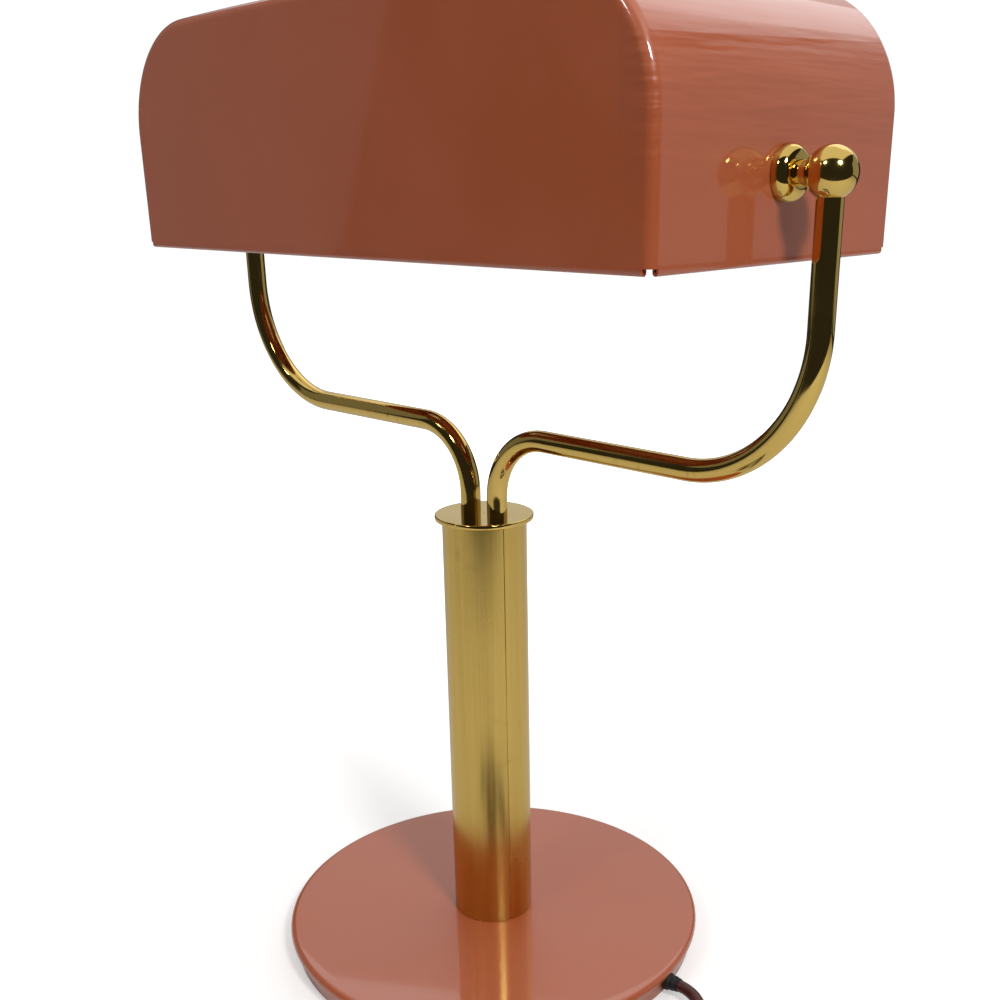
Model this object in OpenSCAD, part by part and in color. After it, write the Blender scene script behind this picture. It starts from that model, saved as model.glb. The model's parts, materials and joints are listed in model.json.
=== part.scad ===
// Two-arm desk lamp with a tilting sheet-metal shade.
// Origin: centre of the base where it stands on the table. +Z is up, X runs along the tilt axis
// of the shade, and -Y is the front. All sizes are in millimetres.

/* [Base] */
// Diameter of the enamelled base
base_d = 223; // [170:1:280]
// Height of the base above the table
base_h = 15; // [13:0.5:24]
// How far the base's side leans in from its rim to its foot
base_lean = 3; // [1:0.5:6]
// Radius of the rolled edge around the base's top
base_edge_r = 3; // [1:0.5:5]
// Sheet thickness of the base cover
cover_t = 1.5; // [1:0.1:2.5]
// Thickness of the felt pad
felt_t = 2; // [1:0.5:3]

/* [Stem] */
// Outside diameter of the stem tube
stem_d = 42; // [36:1:60]
// Wall thickness of the stem tube
stem_t = 1.5; // [1:0.1:3]
// Length of the stem tube
stem_h = 220; // [140:5:320]
// Diameter of the flat collar on the stem
collar_d = 49; // [44:1:76]
// Thickness of the collar
collar_t = 2.5; // [2:0.5:5]
// Diameter of the tie rod that holds the lamp together
rod_d = 6; // [5:1:6]

/* [Arms] */
// Outside diameter of the arm tubes
arm_d = 10; // [8:0.5:12]
// Bore of the arm tubes
arm_bore = 7; // [5:0.5:7]
// Distance of each arm from the stem's axis, where it leaves the collar
arm_x = 9.5; // [9:0.5:12]
// Straight stretch of an arm above the collar
arm_rise = 9; // [4:1:40]
// Bend radius of an arm near the collar
bend_low_r = 32; // [20:1:45]
// Bend radius of an arm at its outer corner
bend_high_r = 60; // [40:1:70]
// Straight stretch of an arm below its ball
arm_top = 54.5; // [40:0.5:120]

/* [Balls and rosettes] */
// Diameter of the ball on each arm
ball_d = 19; // [17:0.5:26]
// Diameter of the rosette against the shade
rosette_d = 20.5; // [16:0.5:30]
// Outside diameter of the hollow tilt spindle
spindle_d = 8; // [7:0.5:8]
// Radial running clearance of the spindle in its ball
run_fit = 0.05; // [0.02:0.01:0.1]
// Distance from the shade's end wall to the ball's centre
ball_reach = 19; // [17:0.5:30]

/* [Shade] */
// Width of the shade along the tilt axis
shade_w = 330; // [270:5:420]
// Depth of the shade from front to back
shade_d = 149; // [110:1:170]
// Height of the straight part of the shade's ends
shade_wall_h = 51.5; // [40:0.5:80]
// Radius of the shade's upper corners
shade_corner_r = 49; // [30:1:60]
// Slope of the crowned top where it meets the corners, in degrees
crown_angle = 2.1; // [1:0.1:6]
// Height of the tilt axis above the shade's lower edge
pivot_rise = 31.5; // [26:0.5:45]
// Thickness of the shade's sheet metal
sheet_t = 1; // [0.8:0.1:1.5]
// Radius of the rolled seam between the panels and the wrap
rim_r = 4; // [2.5:0.5:6]
// Height of the folded hem inside the lower edge
hem_h = 6; // [4:0.5:10]
// Height of the relief notch at each lower corner
notch_h = 2.5; // [1:0.5:4]

/* [Lampholders] */
// Diameter of a lampholder
holder_d = 27; // [24:1:32]
// Length of a lampholder
holder_l = 41; // [36:1:50]
// Diameter of a bulb's glass
bulb_d = 45; // [35:1:50]

/* [Cord, switch and plug] */
// Diameter of the mains cord
cord_d = 6; // [6:0.5:6]
// Length of the switch on the cord
switch_l = 56; // [56:1:56]
// Width of the switch
switch_w = 25; // [22:1:30]
// Height of the switch's case
switch_h = 15; // [14:0.5:18]
// Travel of the rocker from off to on, in degrees
rocker_travel = 12; // [8:1:16]
// Length of the plug's body
plug_l = 38; // [34:1:44]
// Width of the plug's body
plug_w = 34; // [32:1:38]
// Thickness of the plug's body
plug_h = 13.5; // [12:0.5:16]

/* [Hidden] */

enamel = [0.74, 0.42, 0.34];
brass = [0.76, 0.62, 0.30];
steel = [0.62, 0.62, 0.64];
iron = [0.25, 0.25, 0.26];
felt = [0.18, 0.15, 0.14];
black = [0.08, 0.07, 0.07];
oxblood = [0.26, 0.11, 0.10];
glass = [0.95, 0.95, 0.92];

small_fn = 72;
corner_steps = 18;
crown_steps = 12;
crown_fn = ceil(crown_steps * 180 / crown_angle);
$fn = small_fn;
fit = 0.05;          // clearance of a part that sits in a hole of the same body
gap = 0.3;           // clearance between bodies that move past each other
eps = 0.01;

// heights, from the table up
stem_r = stem_d / 2;
stem_bore_r = stem_r - stem_t;
stem_top = base_h + stem_h;
collar_top = stem_top + collar_t;
arm_r = arm_d / 2;
low_bend_z = collar_top + arm_rise;
arm_level_z = low_bend_z + bend_low_r;
high_bend_z = arm_level_z + bend_high_r;
pivot_z = high_bend_z + arm_top;

// places along X
shade_end = shade_w / 2;
ball_x = shade_end + ball_reach;
level_end_x = ball_x - bend_high_r;
low_bend_end_x = arm_x + bend_low_r;
ball_r = ball_d / 2;
spindle_r = spindle_d / 2;
spindle_bore_r = spindle_r - 1.5;
ball_flat = sqrt(pow(ball_r, 2) - pow(spindle_r + 1, 2));   // from the ball's centre to its flat
spring_t = 0.8;
rosette_rim_t = 1.5;                         // thickness of a rosette at its full diameter
rosette_neck_l = 3.3;                        // length of the neck outside a rosette's dome
rosette_neck_t = 0.6;                        // wall of a rosette's neck around the spindle
spring_x = ball_x - ball_flat - gap - spring_t;             // inner face of the spring washer
spindle_end = ball_x - 1;

// base
rim_radius = base_d / 2;
foot_radius = rim_radius - base_lean;
weight_play = 2;                             // room between the weight and the cover
weight_r = foot_radius - cover_t - weight_play;
weight_top = base_h - cover_t;
cover_foot = 1;                              // gap between the cover's foot and the table
exit_angle = 10;                             // direction in which the cord leaves the base
exit_z = 7.5;
lead_r = cord_d / 2;
gland_hole_r = 4.5;
gland_flange_r = 5.3;
gland_in = 14;
gland_flange_l = 3;
gland_proud = 1.3;
side_at_exit = foot_radius + base_lean * (exit_z - cover_foot) / (base_h - base_edge_r - cover_foot);
gland_face = side_at_exit + gland_proud;     // distance of the gland's outer face from the axis
lead_bend_r = 12;
lead_offset = 12;                            // distance of the inner lead from the stem's axis
cover_hole_r = stem_bore_r - 1;
slot_play = 1;                               // room beside the cord in the slots it runs through
nut_h = 4;
washer_t = 1.5;
rod_nut_af = 10;
rod_play = 0.3;                              // radial room around the rod in the parts it passes
counterbore_r = 9;
counterbore_top = 8;
nut_z = counterbore_top - washer_t - nut_h;
spigot_h = 6;
collar_spigot_h = 2;
bridge_t = 4;
bridge_w = 14;
bridge_corner_r = 4;
locknut_h = 3.5;
locknut_r = arm_x - rod_d / 2 - gap;          // leaves the rod free between both nuts
bridge_z = stem_top - collar_spigot_h - bridge_t;
arm_end_l = 2;                               // length of an arm that shows under its locknut
arm_foot = bridge_z - locknut_h - arm_end_l;
wire_end_l = 8;                              // length of wire between an arm and the junction block
lead_foot = arm_foot - wire_end_l;
block_h = 12;
block_r = stem_bore_r - 1.5;
block_z = lead_foot - block_h;
wire_r = 2;
ball_socket = 4;                             // depth of an arm's seat in its ball
seam_angle = -17;                            // where the stem's drawn seam runs
seam_w = 0.4;
seam_depth = 0.2;

// shade
wall_foot = pivot_z - pivot_rise;
wall_top = wall_foot + shade_wall_h;
corner_x = shade_end - shade_corner_r;
crown_r = shade_corner_r + corner_x / sin(crown_angle);
crown_z = wall_top - corner_x / tan(crown_angle);
wrap_half = shade_d / 2 - rim_r;
panel_lap = 8;                               // how far the strip under the crown reaches into the panel
hole_r = spindle_r + fit;
inner_washer_t = 1.2;
inner_washer_r = 9;
inner_nut_h = 4;
inner_nut_af = 13;
washer_x = shade_end - sheet_t - inner_washer_t;
nut_x = washer_x - inner_nut_h;
holder_x = nut_x - holder_l;
skirt_l = 24;                                // length of a lampholder's skirt
bead_l = 6;                                  // width of the raised band behind the skirt
holder_step = 2;                             // how far the skirt stands back from the band
holder_nose = 5;                             // how far the cap tapers toward the nut
holder_grip = 8;                             // how deep the spindle screws into a lampholder
shell_r = 7.6;
shell_t = 0.5;
shell_l = 21;
bulb_cap_r = 6.8;
bulb_cap_l = 19;
bulb_cap_taper = 3;
bulb_neck_l = 12;
bulb_flare = 4;                              // how much wider the neck is where it meets the round glass
bulb_x = holder_x - bulb_neck_l - bulb_d / 2;

// cord: points along the middle of the free lengths, laid by hand
boot_route = [[109.9, 19.4, 7.5], [111.8, 19.7, 7.5], [113.6, 19.95, 7.5], [115.5, 20.1, 7.5]];
run_route = [[115.5, 20.1, 7.5], [120, 20.1, 7.5], [125, 19, 7.4], [129, 17.4, 7], [133, 14.8, 6.4],
             [136.5, 11.4, 5.6], [139.5, 7, 4.8], [142, 2, 4.2], [145, -4.5, 4], [148.5, -12, 4.8],
             [152, -19.5, 6]];
boot_tip_d = 6.8;
boot_root_d = 8.4;
switch_heading = -65;
switch_start = [152, -19.5, 6];
link_route = [[175.7, -70.3, 6], [178, -76, 4.6], [179.8, -83, 3.4], [181, -91, 3], [181.5, -101, 3],
              [181.5, -112, 3], [181.5, -124, 3]];
coil_centre = [137, -124, 0];
coil_inner_r = 20.5;
coil_outer_r = 47.5;
coil_layers = 2;
tail_route = [[181.5, -124, 9], [181.2, -135, 8.6], [179, -147, 7.4], [174.5, -159, 5.4],
              [167, -169.5, 3.4], [157, -177.5, 3], [145.5, -182.5, 3], [133, -184.5, 3.4],
              [121, -185, 5], [110, -185, 6.75]];
cord_sides = 10;
plug_start = [110, -185, 6.75];
pin_r = 2;
pin_l = 19;
pin_spacing = 18.8;
nose_l = 8;                                  // the plug's outline: narrow nose, shoulder, full width
nose_w = 10;
nose_flare = 3;
shoulder_l = 20;
shoulder_in = 2;
grip_l = 24;
plug_chamfer = 4;
tie_w = 8;
tie_t = 1;
tie_angle = 170;

// switch, in a frame where X runs along the cord and the table is at z = 0
case_split = 7;
case_wall = 1.8;
case_corner_r = 6;
well_corner_r = 3;
well_l = switch_l - 26;                      // length of the hollow inside the case
rocker_l = 19;
rocker_w = 9;
rocker_axis_z = switch_h - 5;
rocker_pin_r = 1.5;
cheek_t = 2;
cheek_l = 7;
cheek_in = rocker_w / 2 + gap;               // from the switch's middle to a cheek's inner face
window_l = rocker_l + 2;
window_w = rocker_w + 2 * gap;
screw_r = 1.5;
screw_head_r = 2.6;
screw_head_h = 1.6;
screw_sink = 2;                              // depth of the recess a screw head sits in
screw_x = 20;
screw_y = 7;
rocker_edge_z = -1.5;                        // the rocker's side view, measured from its pin
rocker_keel_z = -3.5;
rocker_tip_z = 6.8;
rocker_dip_z = 5.6;

// ---------------------------------------------------------------- helpers

// a solid of revolution about a line along X, from a profile of [x, radius] points
module lathe_x(profile) {
    rotate([0, 90, 0])
        rotate_extrude()
            polygon([for (p = profile) [p[1], p[0]]]);
}

module rod_x(x0, x1, r) {
    translate([x0, 0, 0])
        rotate([0, 90, 0])
            cylinder(r = r, h = x1 - x0);
}

module at_pivot() {
    translate([0, 0, pivot_z]) children();
}

// 1 is the right-hand side, -1 the left
module on_side(side) {
    mirror([side < 0 ? 1 : 0, 0, 0]) children();
}

module hex_nut(af, h, bore_r) {
    difference() {
        cylinder(d = af / cos(30), h = h, $fn = 6);
        translate([0, 0, -eps]) cylinder(r = bore_r, h = h + 2 * eps);
    }
}

module washer(outer_r, bore_r, t) {
    difference() {
        cylinder(r = outer_r, h = t);
        translate([0, 0, -eps]) cylinder(r = bore_r, h = t + 2 * eps);
    }
}

module rounded_block(l, w, h, r) {
    translate([-l / 2 + r, -w / 2, 0]) cube([l - 2 * r, w, h]);
    translate([-l / 2, -w / 2 + r, 0]) cube([l, w - 2 * r, h]);
    for (sx = [-1, 1], sy = [-1, 1])
        translate([sx * (l / 2 - r), sy * (w / 2 - r), 0]) cylinder(r = r, h = h);
}

// swept tube: one ring of points around each route point, then the faces between them
function heading(route, i) =
    let (n = len(route) - 1, t = route[min(i + 1, n)] - route[max(i - 1, 0)]) t / norm(t);

function ring_points(centre, t, r) =
    let (side = cross(t, [0, 0, 1]) / norm(cross(t, [0, 0, 1])), up = cross(side, t))
    [for (k = [0 : cord_sides - 1])
        centre + r * (cos(360 * k / cord_sides) * side + sin(360 * k / cord_sides) * up)];

module swept_tube(route, d_start, d_end) {
    n = len(route);
    points = [for (i = [0 : n - 1])
        each ring_points(route[i], heading(route, i), (d_start + (d_end - d_start) * i / (n - 1)) / 2)];
    first_cap = [[for (k = [0 : cord_sides - 1]) k]];
    last_cap = [[for (k = [cord_sides - 1 : -1 : 0]) (n - 1) * cord_sides + k]];
    walls = [for (i = [0 : n - 2], k = [0 : cord_sides - 1])
        let (k2 = (k + 1) % cord_sides, a = i * cord_sides, b = a + cord_sides)
        each [[a + k, b + k, b + k2], [a + k, b + k2, a + k2]]];
    polyhedron(points, concat(first_cap, walls, last_cap));
}

// ---------------------------------------------------------------- base

// pressed steel dish that turns down over the iron weight
module base_cover() color(enamel) difference() {
    rotate_extrude() union() {
        difference() {
            union() {
                polygon([[0, cover_foot], [foot_radius, cover_foot],
                         [rim_radius, base_h - base_edge_r], [rim_radius - base_edge_r, base_h],
                         [0, base_h]]);
                translate([rim_radius - base_edge_r, base_h - base_edge_r]) circle(r = base_edge_r);
            }
            polygon([[0, cover_foot - 1], [foot_radius - cover_t, cover_foot - 1],
                     [rim_radius - cover_t - 0.5, base_h - base_edge_r],
                     [rim_radius - base_edge_r, weight_top], [0, weight_top]]);
            translate([0, weight_top - 1]) square([cover_hole_r, cover_t + 2]);
        }
    }
    rotate([0, 0, exit_angle])
        translate([0, 0, exit_z])
            rod_x(foot_radius - 8, rim_radius + 5, gland_hole_r + fit);
}

// cast-iron disc, slotted for the cord
module base_weight() color(iron) difference() {
    translate([0, 0, felt_t]) cylinder(r = weight_r, h = weight_top - felt_t);
    translate([0, 0, felt_t - 1]) cylinder(r = counterbore_r, h = counterbore_top - felt_t + 1);
    cylinder(r = rod_d / 2 + rod_play, h = base_h);
    rotate([0, 0, exit_angle]) {
        translate([lead_offset - lead_r - slot_play, -lead_r - slot_play, 0])
            cube([weight_r, cord_d + 2 * slot_play, base_h]);
        translate([gland_face - gland_in - slot_play, -gland_flange_r - slot_play, 0])
            cube([weight_r, 2 * (gland_flange_r + slot_play), base_h]);
    }
}

module base_felt() color(felt) difference() {
    cylinder(r = weight_r, h = felt_t);
    translate([0, 0, -1]) cylinder(r = counterbore_r, h = felt_t + 2);
}

// bush that lines the hole in the cover and grips the cord
module cord_gland() color(black)
    rotate([0, 0, exit_angle]) translate([0, 0, exit_z]) difference() {
        union() {
            rod_x(gland_face - gland_in, gland_face, gland_hole_r);
            rod_x(gland_face - gland_in, gland_face - gland_in + gland_flange_l, gland_flange_r);
        }
        rod_x(gland_face - gland_in - 1, gland_face + 1, lead_r + fit);
    }

// flexible tapered sleeve that bends with the first stretch of cord
module cord_boot() color(black)
    swept_tube(boot_route, boot_root_d, boot_tip_d);

module base_washer() color(steel)
    translate([0, 0, counterbore_top - washer_t]) washer(counterbore_r - 1, rod_d / 2 + rod_play, washer_t);

module base_nut() color(steel)
    translate([0, 0, nut_z]) hex_nut(rod_nut_af, nut_h, rod_d / 2 + fit);

// ---------------------------------------------------------------- stem

// threaded rod from the nut under the base to the bridge under the collar
module tension_rod() color(steel)
    translate([0, 0, nut_z]) cylinder(d = rod_d, h = bridge_z + bridge_t - nut_z);

// turned disc that centres the stem on the base
module stem_spigot() color(steel) difference() {
    translate([0, 0, base_h]) cylinder(r = stem_bore_r - fit, h = spigot_h);
    translate([0, 0, base_h - 1]) cylinder(r = rod_d / 2 + rod_play, h = spigot_h + 2);
    rotate([0, 0, exit_angle])
        translate([lead_offset - lead_r - slot_play, -lead_r - slot_play, base_h - 1])
            cube([stem_r, cord_d + 2 * slot_play, spigot_h + 2]);
}

// brass tube with its drawn seam line
module stem_tube() color(brass) difference() {
    translate([0, 0, base_h]) cylinder(r = stem_r, h = stem_h);
    translate([0, 0, base_h - 1]) cylinder(r = stem_bore_r, h = stem_h + 2);
    rotate([0, 0, seam_angle])
        translate([stem_r - seam_depth, -seam_w / 2, base_h - 1])
            cube([seam_depth + 1, seam_w, stem_h + 2]);
}

// flat disc that closes the stem, spigoted into it
module collar() color(brass) difference() {
    union() {
        translate([0, 0, stem_top]) cylinder(d = collar_d, h = collar_t);
        translate([0, 0, stem_top - collar_spigot_h])
            cylinder(r = stem_bore_r - fit, h = collar_spigot_h + eps);
    }
    for (side = [-1, 1])
        translate([side * arm_x, 0, stem_top - collar_spigot_h - 1])
            cylinder(r = arm_r + fit, h = collar_t + collar_spigot_h + 2);
}

// steel strip under the collar that ties both arms to the rod
module arm_bridge() color(steel) difference() {
    translate([0, 0, bridge_z])
        rounded_block(2 * arm_x + arm_d + bridge_corner_r, bridge_w, bridge_t, bridge_corner_r);
    for (side = [-1, 1])
        translate([side * arm_x, 0, bridge_z - 1]) cylinder(r = arm_r + fit, h = bridge_t + 2);
    translate([0, 0, bridge_z - 1]) cylinder(r = rod_d / 2 + fit, h = bridge_t + 2);
}

module arm_locknuts() color(brass)
    for (side = [-1, 1])
        translate([side * arm_x, 0, bridge_z - locknut_h])
            washer(locknut_r, arm_r + fit, locknut_h);

// the cord's run inside: along the base, up the stem, to the junction block
module inner_lead() color(oxblood) rotate([0, 0, exit_angle]) {
    translate([0, 0, exit_z]) rod_x(lead_offset + lead_bend_r, gland_face, lead_r);
    translate([lead_offset + lead_bend_r, 0, exit_z + lead_bend_r])
        rotate([90, 0, 0])
            rotate([0, 0, 180])
                rotate_extrude(angle = 90)
                    translate([lead_bend_r, 0]) circle(r = lead_r);
    translate([lead_offset, 0, exit_z + lead_bend_r])
        cylinder(r = lead_r, h = block_z - exit_z - lead_bend_r);
}

// round block threaded over the rod, where the cord divides into both arms
module junction_block() color(glass)
    translate([0, 0, block_z]) washer(block_r, rod_d / 2 + rod_play, block_h);

// ---------------------------------------------------------------- arms

// the line of an arm: up from the stem, out along the level, up to the ball
module arm_line(r, bore_r, z_foot, z_top) {
    translate([arm_x, 0, z_foot]) pipe(r, bore_r, low_bend_z - z_foot);
    translate([low_bend_end_x, 0, low_bend_z])
        rotate([90, 0, 0])
            rotate([0, 0, 90])
                pipe_bend(r, bore_r, bend_low_r);
    translate([low_bend_end_x, 0, arm_level_z])
        rotate([0, 90, 0]) pipe(r, bore_r, level_end_x - low_bend_end_x);
    translate([level_end_x, 0, high_bend_z])
        rotate([90, 0, 0])
            rotate([0, 0, -90])
                pipe_bend(r, bore_r, bend_high_r);
    translate([ball_x, 0, high_bend_z]) pipe(r, bore_r, z_top - high_bend_z);
}

module pipe(r, bore_r, l) {
    if (bore_r > 0)
        difference() {
            cylinder(r = r, h = l);
            translate([0, 0, -eps]) cylinder(r = bore_r, h = l + 2 * eps);
        }
    else
        cylinder(r = r, h = l);
}

module pipe_bend(r, bore_r, bend_r) {
    rotate_extrude(angle = 90)
        translate([bend_r, 0])
            difference() {
                circle(r = r);
                if (bore_r > 0) circle(r = bore_r);
            }
}

module arm(side) color(brass)
    on_side(side) arm_line(arm_r, arm_bore / 2, arm_foot, pivot_z - ball_r + ball_socket);

module arm_left() arm(-1);
module arm_right() arm(1);

// twin wires inside each arm
module arm_lead(side) color(black)
    on_side(side) arm_line(wire_r, 0, lead_foot, pivot_z - ball_r + ball_socket);

module arm_lead_left() arm_lead(-1);
module arm_lead_right() arm_lead(1);

// ball that stops the arm and carries the spindle in its bored flat
module ball(side) color(brass) on_side(side) at_pivot() difference() {
    translate([ball_x, 0, 0]) sphere(r = ball_r);
    translate([ball_x - ball_flat - ball_r, -ball_r, -ball_r]) cube([ball_r, ball_d, ball_d]);
    rod_x(ball_x - ball_r - 1, spindle_end + gap, spindle_r + run_fit);
    translate([ball_x, 0, -ball_r - 1]) cylinder(r = arm_r + fit, h = ball_socket + 1);
    translate([ball_x, 0, -ball_r]) cylinder(r = wire_r + fit, h = ball_r);
}

module ball_left() ball(-1);
module ball_right() ball(1);

// ---------------------------------------------------------------- shade

// the shade is drawn with its arch in XY and its depth along Z, then stood up
module stand_up() {
    rotate([90, 0, 0]) children();
}

// repeats a profile along the arch: both end walls, both corners and the crowned top.
// The profile lies in XY, where X = 0 is the outer face and Y is the depth.
module along_arch(foot_z) {
    for (side = [-1, 1]) on_side(side) {
        translate([shade_end, foot_z, 0])
            rotate([-90, 0, 0]) linear_extrude(wall_top - foot_z)
                mirror([0, 1]) children();
        translate([corner_x, wall_top, 0])
            rotate_extrude(angle = 90 - crown_angle)
                translate([shade_corner_r, 0]) children();
    }
    translate([0, crown_z, 0])
        rotate([0, 0, 90 - crown_angle])
            rotate_extrude(angle = 2 * crown_angle, $fn = crown_fn)
                translate([crown_r, 0]) usual_facets() children();
}

// small rounds keep their usual number of facets inside the long, shallow arc of the crown
module usual_facets() {
    $fn = small_fn;
    children();
}

// the arch's outline at a given distance inside its outer face, from foot to foot
function arch_outline(inset) = concat(
    [[shade_end - inset, wall_foot]],
    [for (k = [0 : corner_steps])
        let (a = k * (90 - crown_angle) / corner_steps)
        [corner_x, wall_top] + (shade_corner_r - inset) * [cos(a), sin(a)]],
    [for (k = [1 : crown_steps - 1])
        let (a = 90 - crown_angle + 2 * k * crown_angle / crown_steps)
        [0, crown_z] + (crown_r - inset) * [cos(a), sin(a)]],
    [for (k = [corner_steps : -1 : 0])
        let (a = k * (90 - crown_angle) / corner_steps)
        [-corner_x, wall_top] + (shade_corner_r - inset) * [-cos(a), sin(a)]],
    [[inset - shade_end, wall_foot]]);

function reversed(list) = [for (k = [len(list) - 1 : -1 : 0]) list[k]];

// one sheet bent over the whole arch, with its ends hemmed inward
module shade_wrap() color(enamel) difference() {
    stand_up() {
        translate([0, 0, -wrap_half]) linear_extrude(2 * wrap_half)
            polygon(concat(arch_outline(0), reversed(arch_outline(sheet_t))));
        for (side = [-1, 1]) on_side(side)
            translate([shade_end - 2 * sheet_t, wall_foot, -wrap_half])
                cube([sheet_t, hem_h, 2 * wrap_half]);
    }
    for (side = [-1, 1]) on_side(side) at_pivot()
        rod_x(shade_end - 2 * sheet_t, shade_end + sheet_t, hole_r);
}

// flat panel whose rim turns back to meet the wrap
module shade_panel() color(enamel) stand_up() {
    plate_z = shade_d / 2 - sheet_t;
    plate_r = shade_corner_r - rim_r;
    along_arch(wall_foot + notch_h)
        translate([-rim_r, wrap_half])
            intersection() {
                difference() {
                    circle(r = rim_r);
                    circle(r = rim_r - sheet_t);
                }
                square(rim_r);
            }
    translate([0, 0, plate_z]) linear_extrude(sheet_t)
        translate([-shade_end + rim_r, wall_foot]) square([shade_w - 2 * rim_r, shade_wall_h]);
    for (side = [-1, 1]) on_side(side)
        translate([corner_x, wall_top, plate_z])
            rotate_extrude(angle = 90 - crown_angle) square([plate_r, sheet_t]);
    translate([0, crown_z, plate_z])
        rotate([0, 0, 90 - crown_angle])
            rotate_extrude(angle = 2 * crown_angle, $fn = crown_fn)
                translate([crown_r - shade_corner_r - panel_lap, 0]) square([plate_r + panel_lap, sheet_t]);
    translate([-shade_end + rim_r, wall_foot, plate_z - sheet_t])
        cube([shade_w - 2 * rim_r, hem_h, sheet_t]);
}

module shade_front() shade_panel();
module shade_back() rotate([0, 0, 180]) shade_panel();

// domed brass rosette between the end wall and the ball
module rosette(side) color(brass) on_side(side) at_pivot() {
    foot = shade_end;
    tip = spring_x;
    shoulder = foot + rosette_rim_t;
    dome_l = tip - rosette_neck_l - shoulder;
    neck_r = spindle_r + rosette_neck_t;
    rise = rosette_d / 2 - neck_r;
    lathe_x(concat(
        [[foot, hole_r], [foot, rosette_d / 2]],
        [for (a = [0 : 10 : 90]) [shoulder + dome_l * sin(a), neck_r + rise * cos(a)]],
        [[tip, neck_r], [tip, hole_r]]));
}

module rosette_left() rosette(-1);
module rosette_right() rosette(1);

module spring_washers() color(brass)
    for (side = [-1, 1]) on_side(side) at_pivot()
        translate([spring_x, 0, 0]) rotate([0, 90, 0]) washer(spindle_r + 1, spindle_r + fit, spring_t);

// hollow threaded tube: runs in the ball, clamps the end wall, carries the lampholder
module spindle(side) color(brass) on_side(side) at_pivot() difference() {
    rod_x(nut_x - holder_grip, spindle_end, spindle_r);
    rod_x(nut_x - holder_grip - 1, spindle_end + 1, spindle_bore_r);
}

module spindle_left() spindle(-1);
module spindle_right() spindle(1);

module inner_washers() color(steel)
    for (side = [-1, 1]) on_side(side) at_pivot()
        translate([washer_x, 0, 0]) rotate([0, 90, 0]) washer(inner_washer_r, hole_r, inner_washer_t);

module inner_nuts() color(steel)
    for (side = [-1, 1]) on_side(side) at_pivot()
        translate([nut_x, 0, 0]) rotate([0, 90, 0]) hex_nut(inner_nut_af, inner_nut_h, hole_r);

// bakelite lampholder: cap on the spindle, skirt around the screw shell
module lampholder(side) color(black) on_side(side) at_pivot() difference() {
    band_r = holder_d / 2;
    skirt_r = band_r - holder_step;
    band_x = holder_x + skirt_l;
    lathe_x([[holder_x, 0], [holder_x, skirt_r - 1], [holder_x + 1, skirt_r], [band_x, skirt_r],
             [band_x, band_r], [band_x + bead_l, band_r], [nut_x, band_r - holder_nose], [nut_x, 0]]);
    rod_x(holder_x - 1, holder_x + shell_l + 2, shell_r + shell_t + fit);
    rod_x(nut_x - holder_grip, nut_x + 1, hole_r);
    rod_x(holder_x + shell_l, nut_x, spindle_bore_r);
}

module lampholder_left() lampholder(-1);
module lampholder_right() lampholder(1);

module socket_shells() color(brass)
    for (side = [-1, 1]) on_side(side) at_pivot() difference() {
        rod_x(holder_x + 1, holder_x + shell_l + 1, shell_r + shell_t);
        rod_x(holder_x, holder_x + shell_l, shell_r);
    }

// small round bulb, glass only
module bulb(side) color(glass) on_side(side) at_pivot() {
    neck_r = bulb_cap_r;
    round_r = bulb_d / 2;
    neck_x = holder_x - 1;
    flare_r = neck_r + bulb_flare;
    meet = sqrt(pow(round_r, 2) - pow(flare_r, 2));
    rotate([0, 90, 0]) rotate_extrude()
        difference() {
            union() {
                translate([0, bulb_x]) circle(r = round_r);
                polygon([[0, bulb_x], [flare_r, bulb_x + meet], [neck_r, neck_x], [0, neck_x]]);
            }
            translate([-bulb_d, bulb_x - bulb_d]) square([bulb_d, 3 * bulb_d]);
        }
}

module bulb_left() bulb(-1);
module bulb_right() bulb(1);

module bulb_caps() color(steel)
    for (side = [-1, 1]) on_side(side) at_pivot()
        lathe_x([[holder_x - 1, 0], [holder_x - 1, bulb_cap_r],
                 [holder_x + bulb_cap_l - bulb_cap_taper, bulb_cap_r],
                 [holder_x + bulb_cap_l, bulb_cap_r - bulb_cap_taper], [holder_x + bulb_cap_l, 0]]);

// ---------------------------------------------------------------- cord, switch and plug

module cord_run() color(oxblood) swept_tube(run_route, cord_d, cord_d);
module cord_link() color(oxblood) swept_tube(link_route, cord_d, cord_d);
module cord_tail() color(oxblood) swept_tube(tail_route, cord_d, cord_d);

module cord_coil() color(oxblood)
    translate(coil_centre) rotate_extrude() {
        translate([coil_inner_r, lead_r]) square([coil_outer_r - coil_inner_r, cord_d * (coil_layers - 1)]);
        translate([coil_inner_r + lead_r, 0])
            square([coil_outer_r - coil_inner_r - cord_d, cord_d * coil_layers]);
        for (r = [coil_inner_r + lead_r, coil_outer_r - lead_r], z = [lead_r, cord_d * coil_layers - lead_r])
            translate([r, z]) circle(r = lead_r);
    }

// strap around the coil's turns
module coil_tie() color(black)
    translate(coil_centre) rotate([0, 0, tie_angle]) {
        height = cord_d * coil_layers + tie_t;
        width = coil_outer_r - coil_inner_r + 2 * tie_t;
        translate([coil_inner_r - tie_t, -tie_w / 2, 0]) difference() {
            cube([width, tie_w, height]);
            translate([tie_t, -1, tie_t]) cube([width - 2 * tie_t, tie_w + 2, height - 2 * tie_t]);
        }
    }

module switch_frame() {
    translate([switch_start[0], switch_start[1], 0])
        rotate([0, 0, switch_heading])
            translate([switch_l / 2, 0, 0]) children();
}

module screw_places() {
    for (sx = [-1, 1]) translate([sx * screw_x, sx * screw_y, 0]) children();
}

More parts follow.
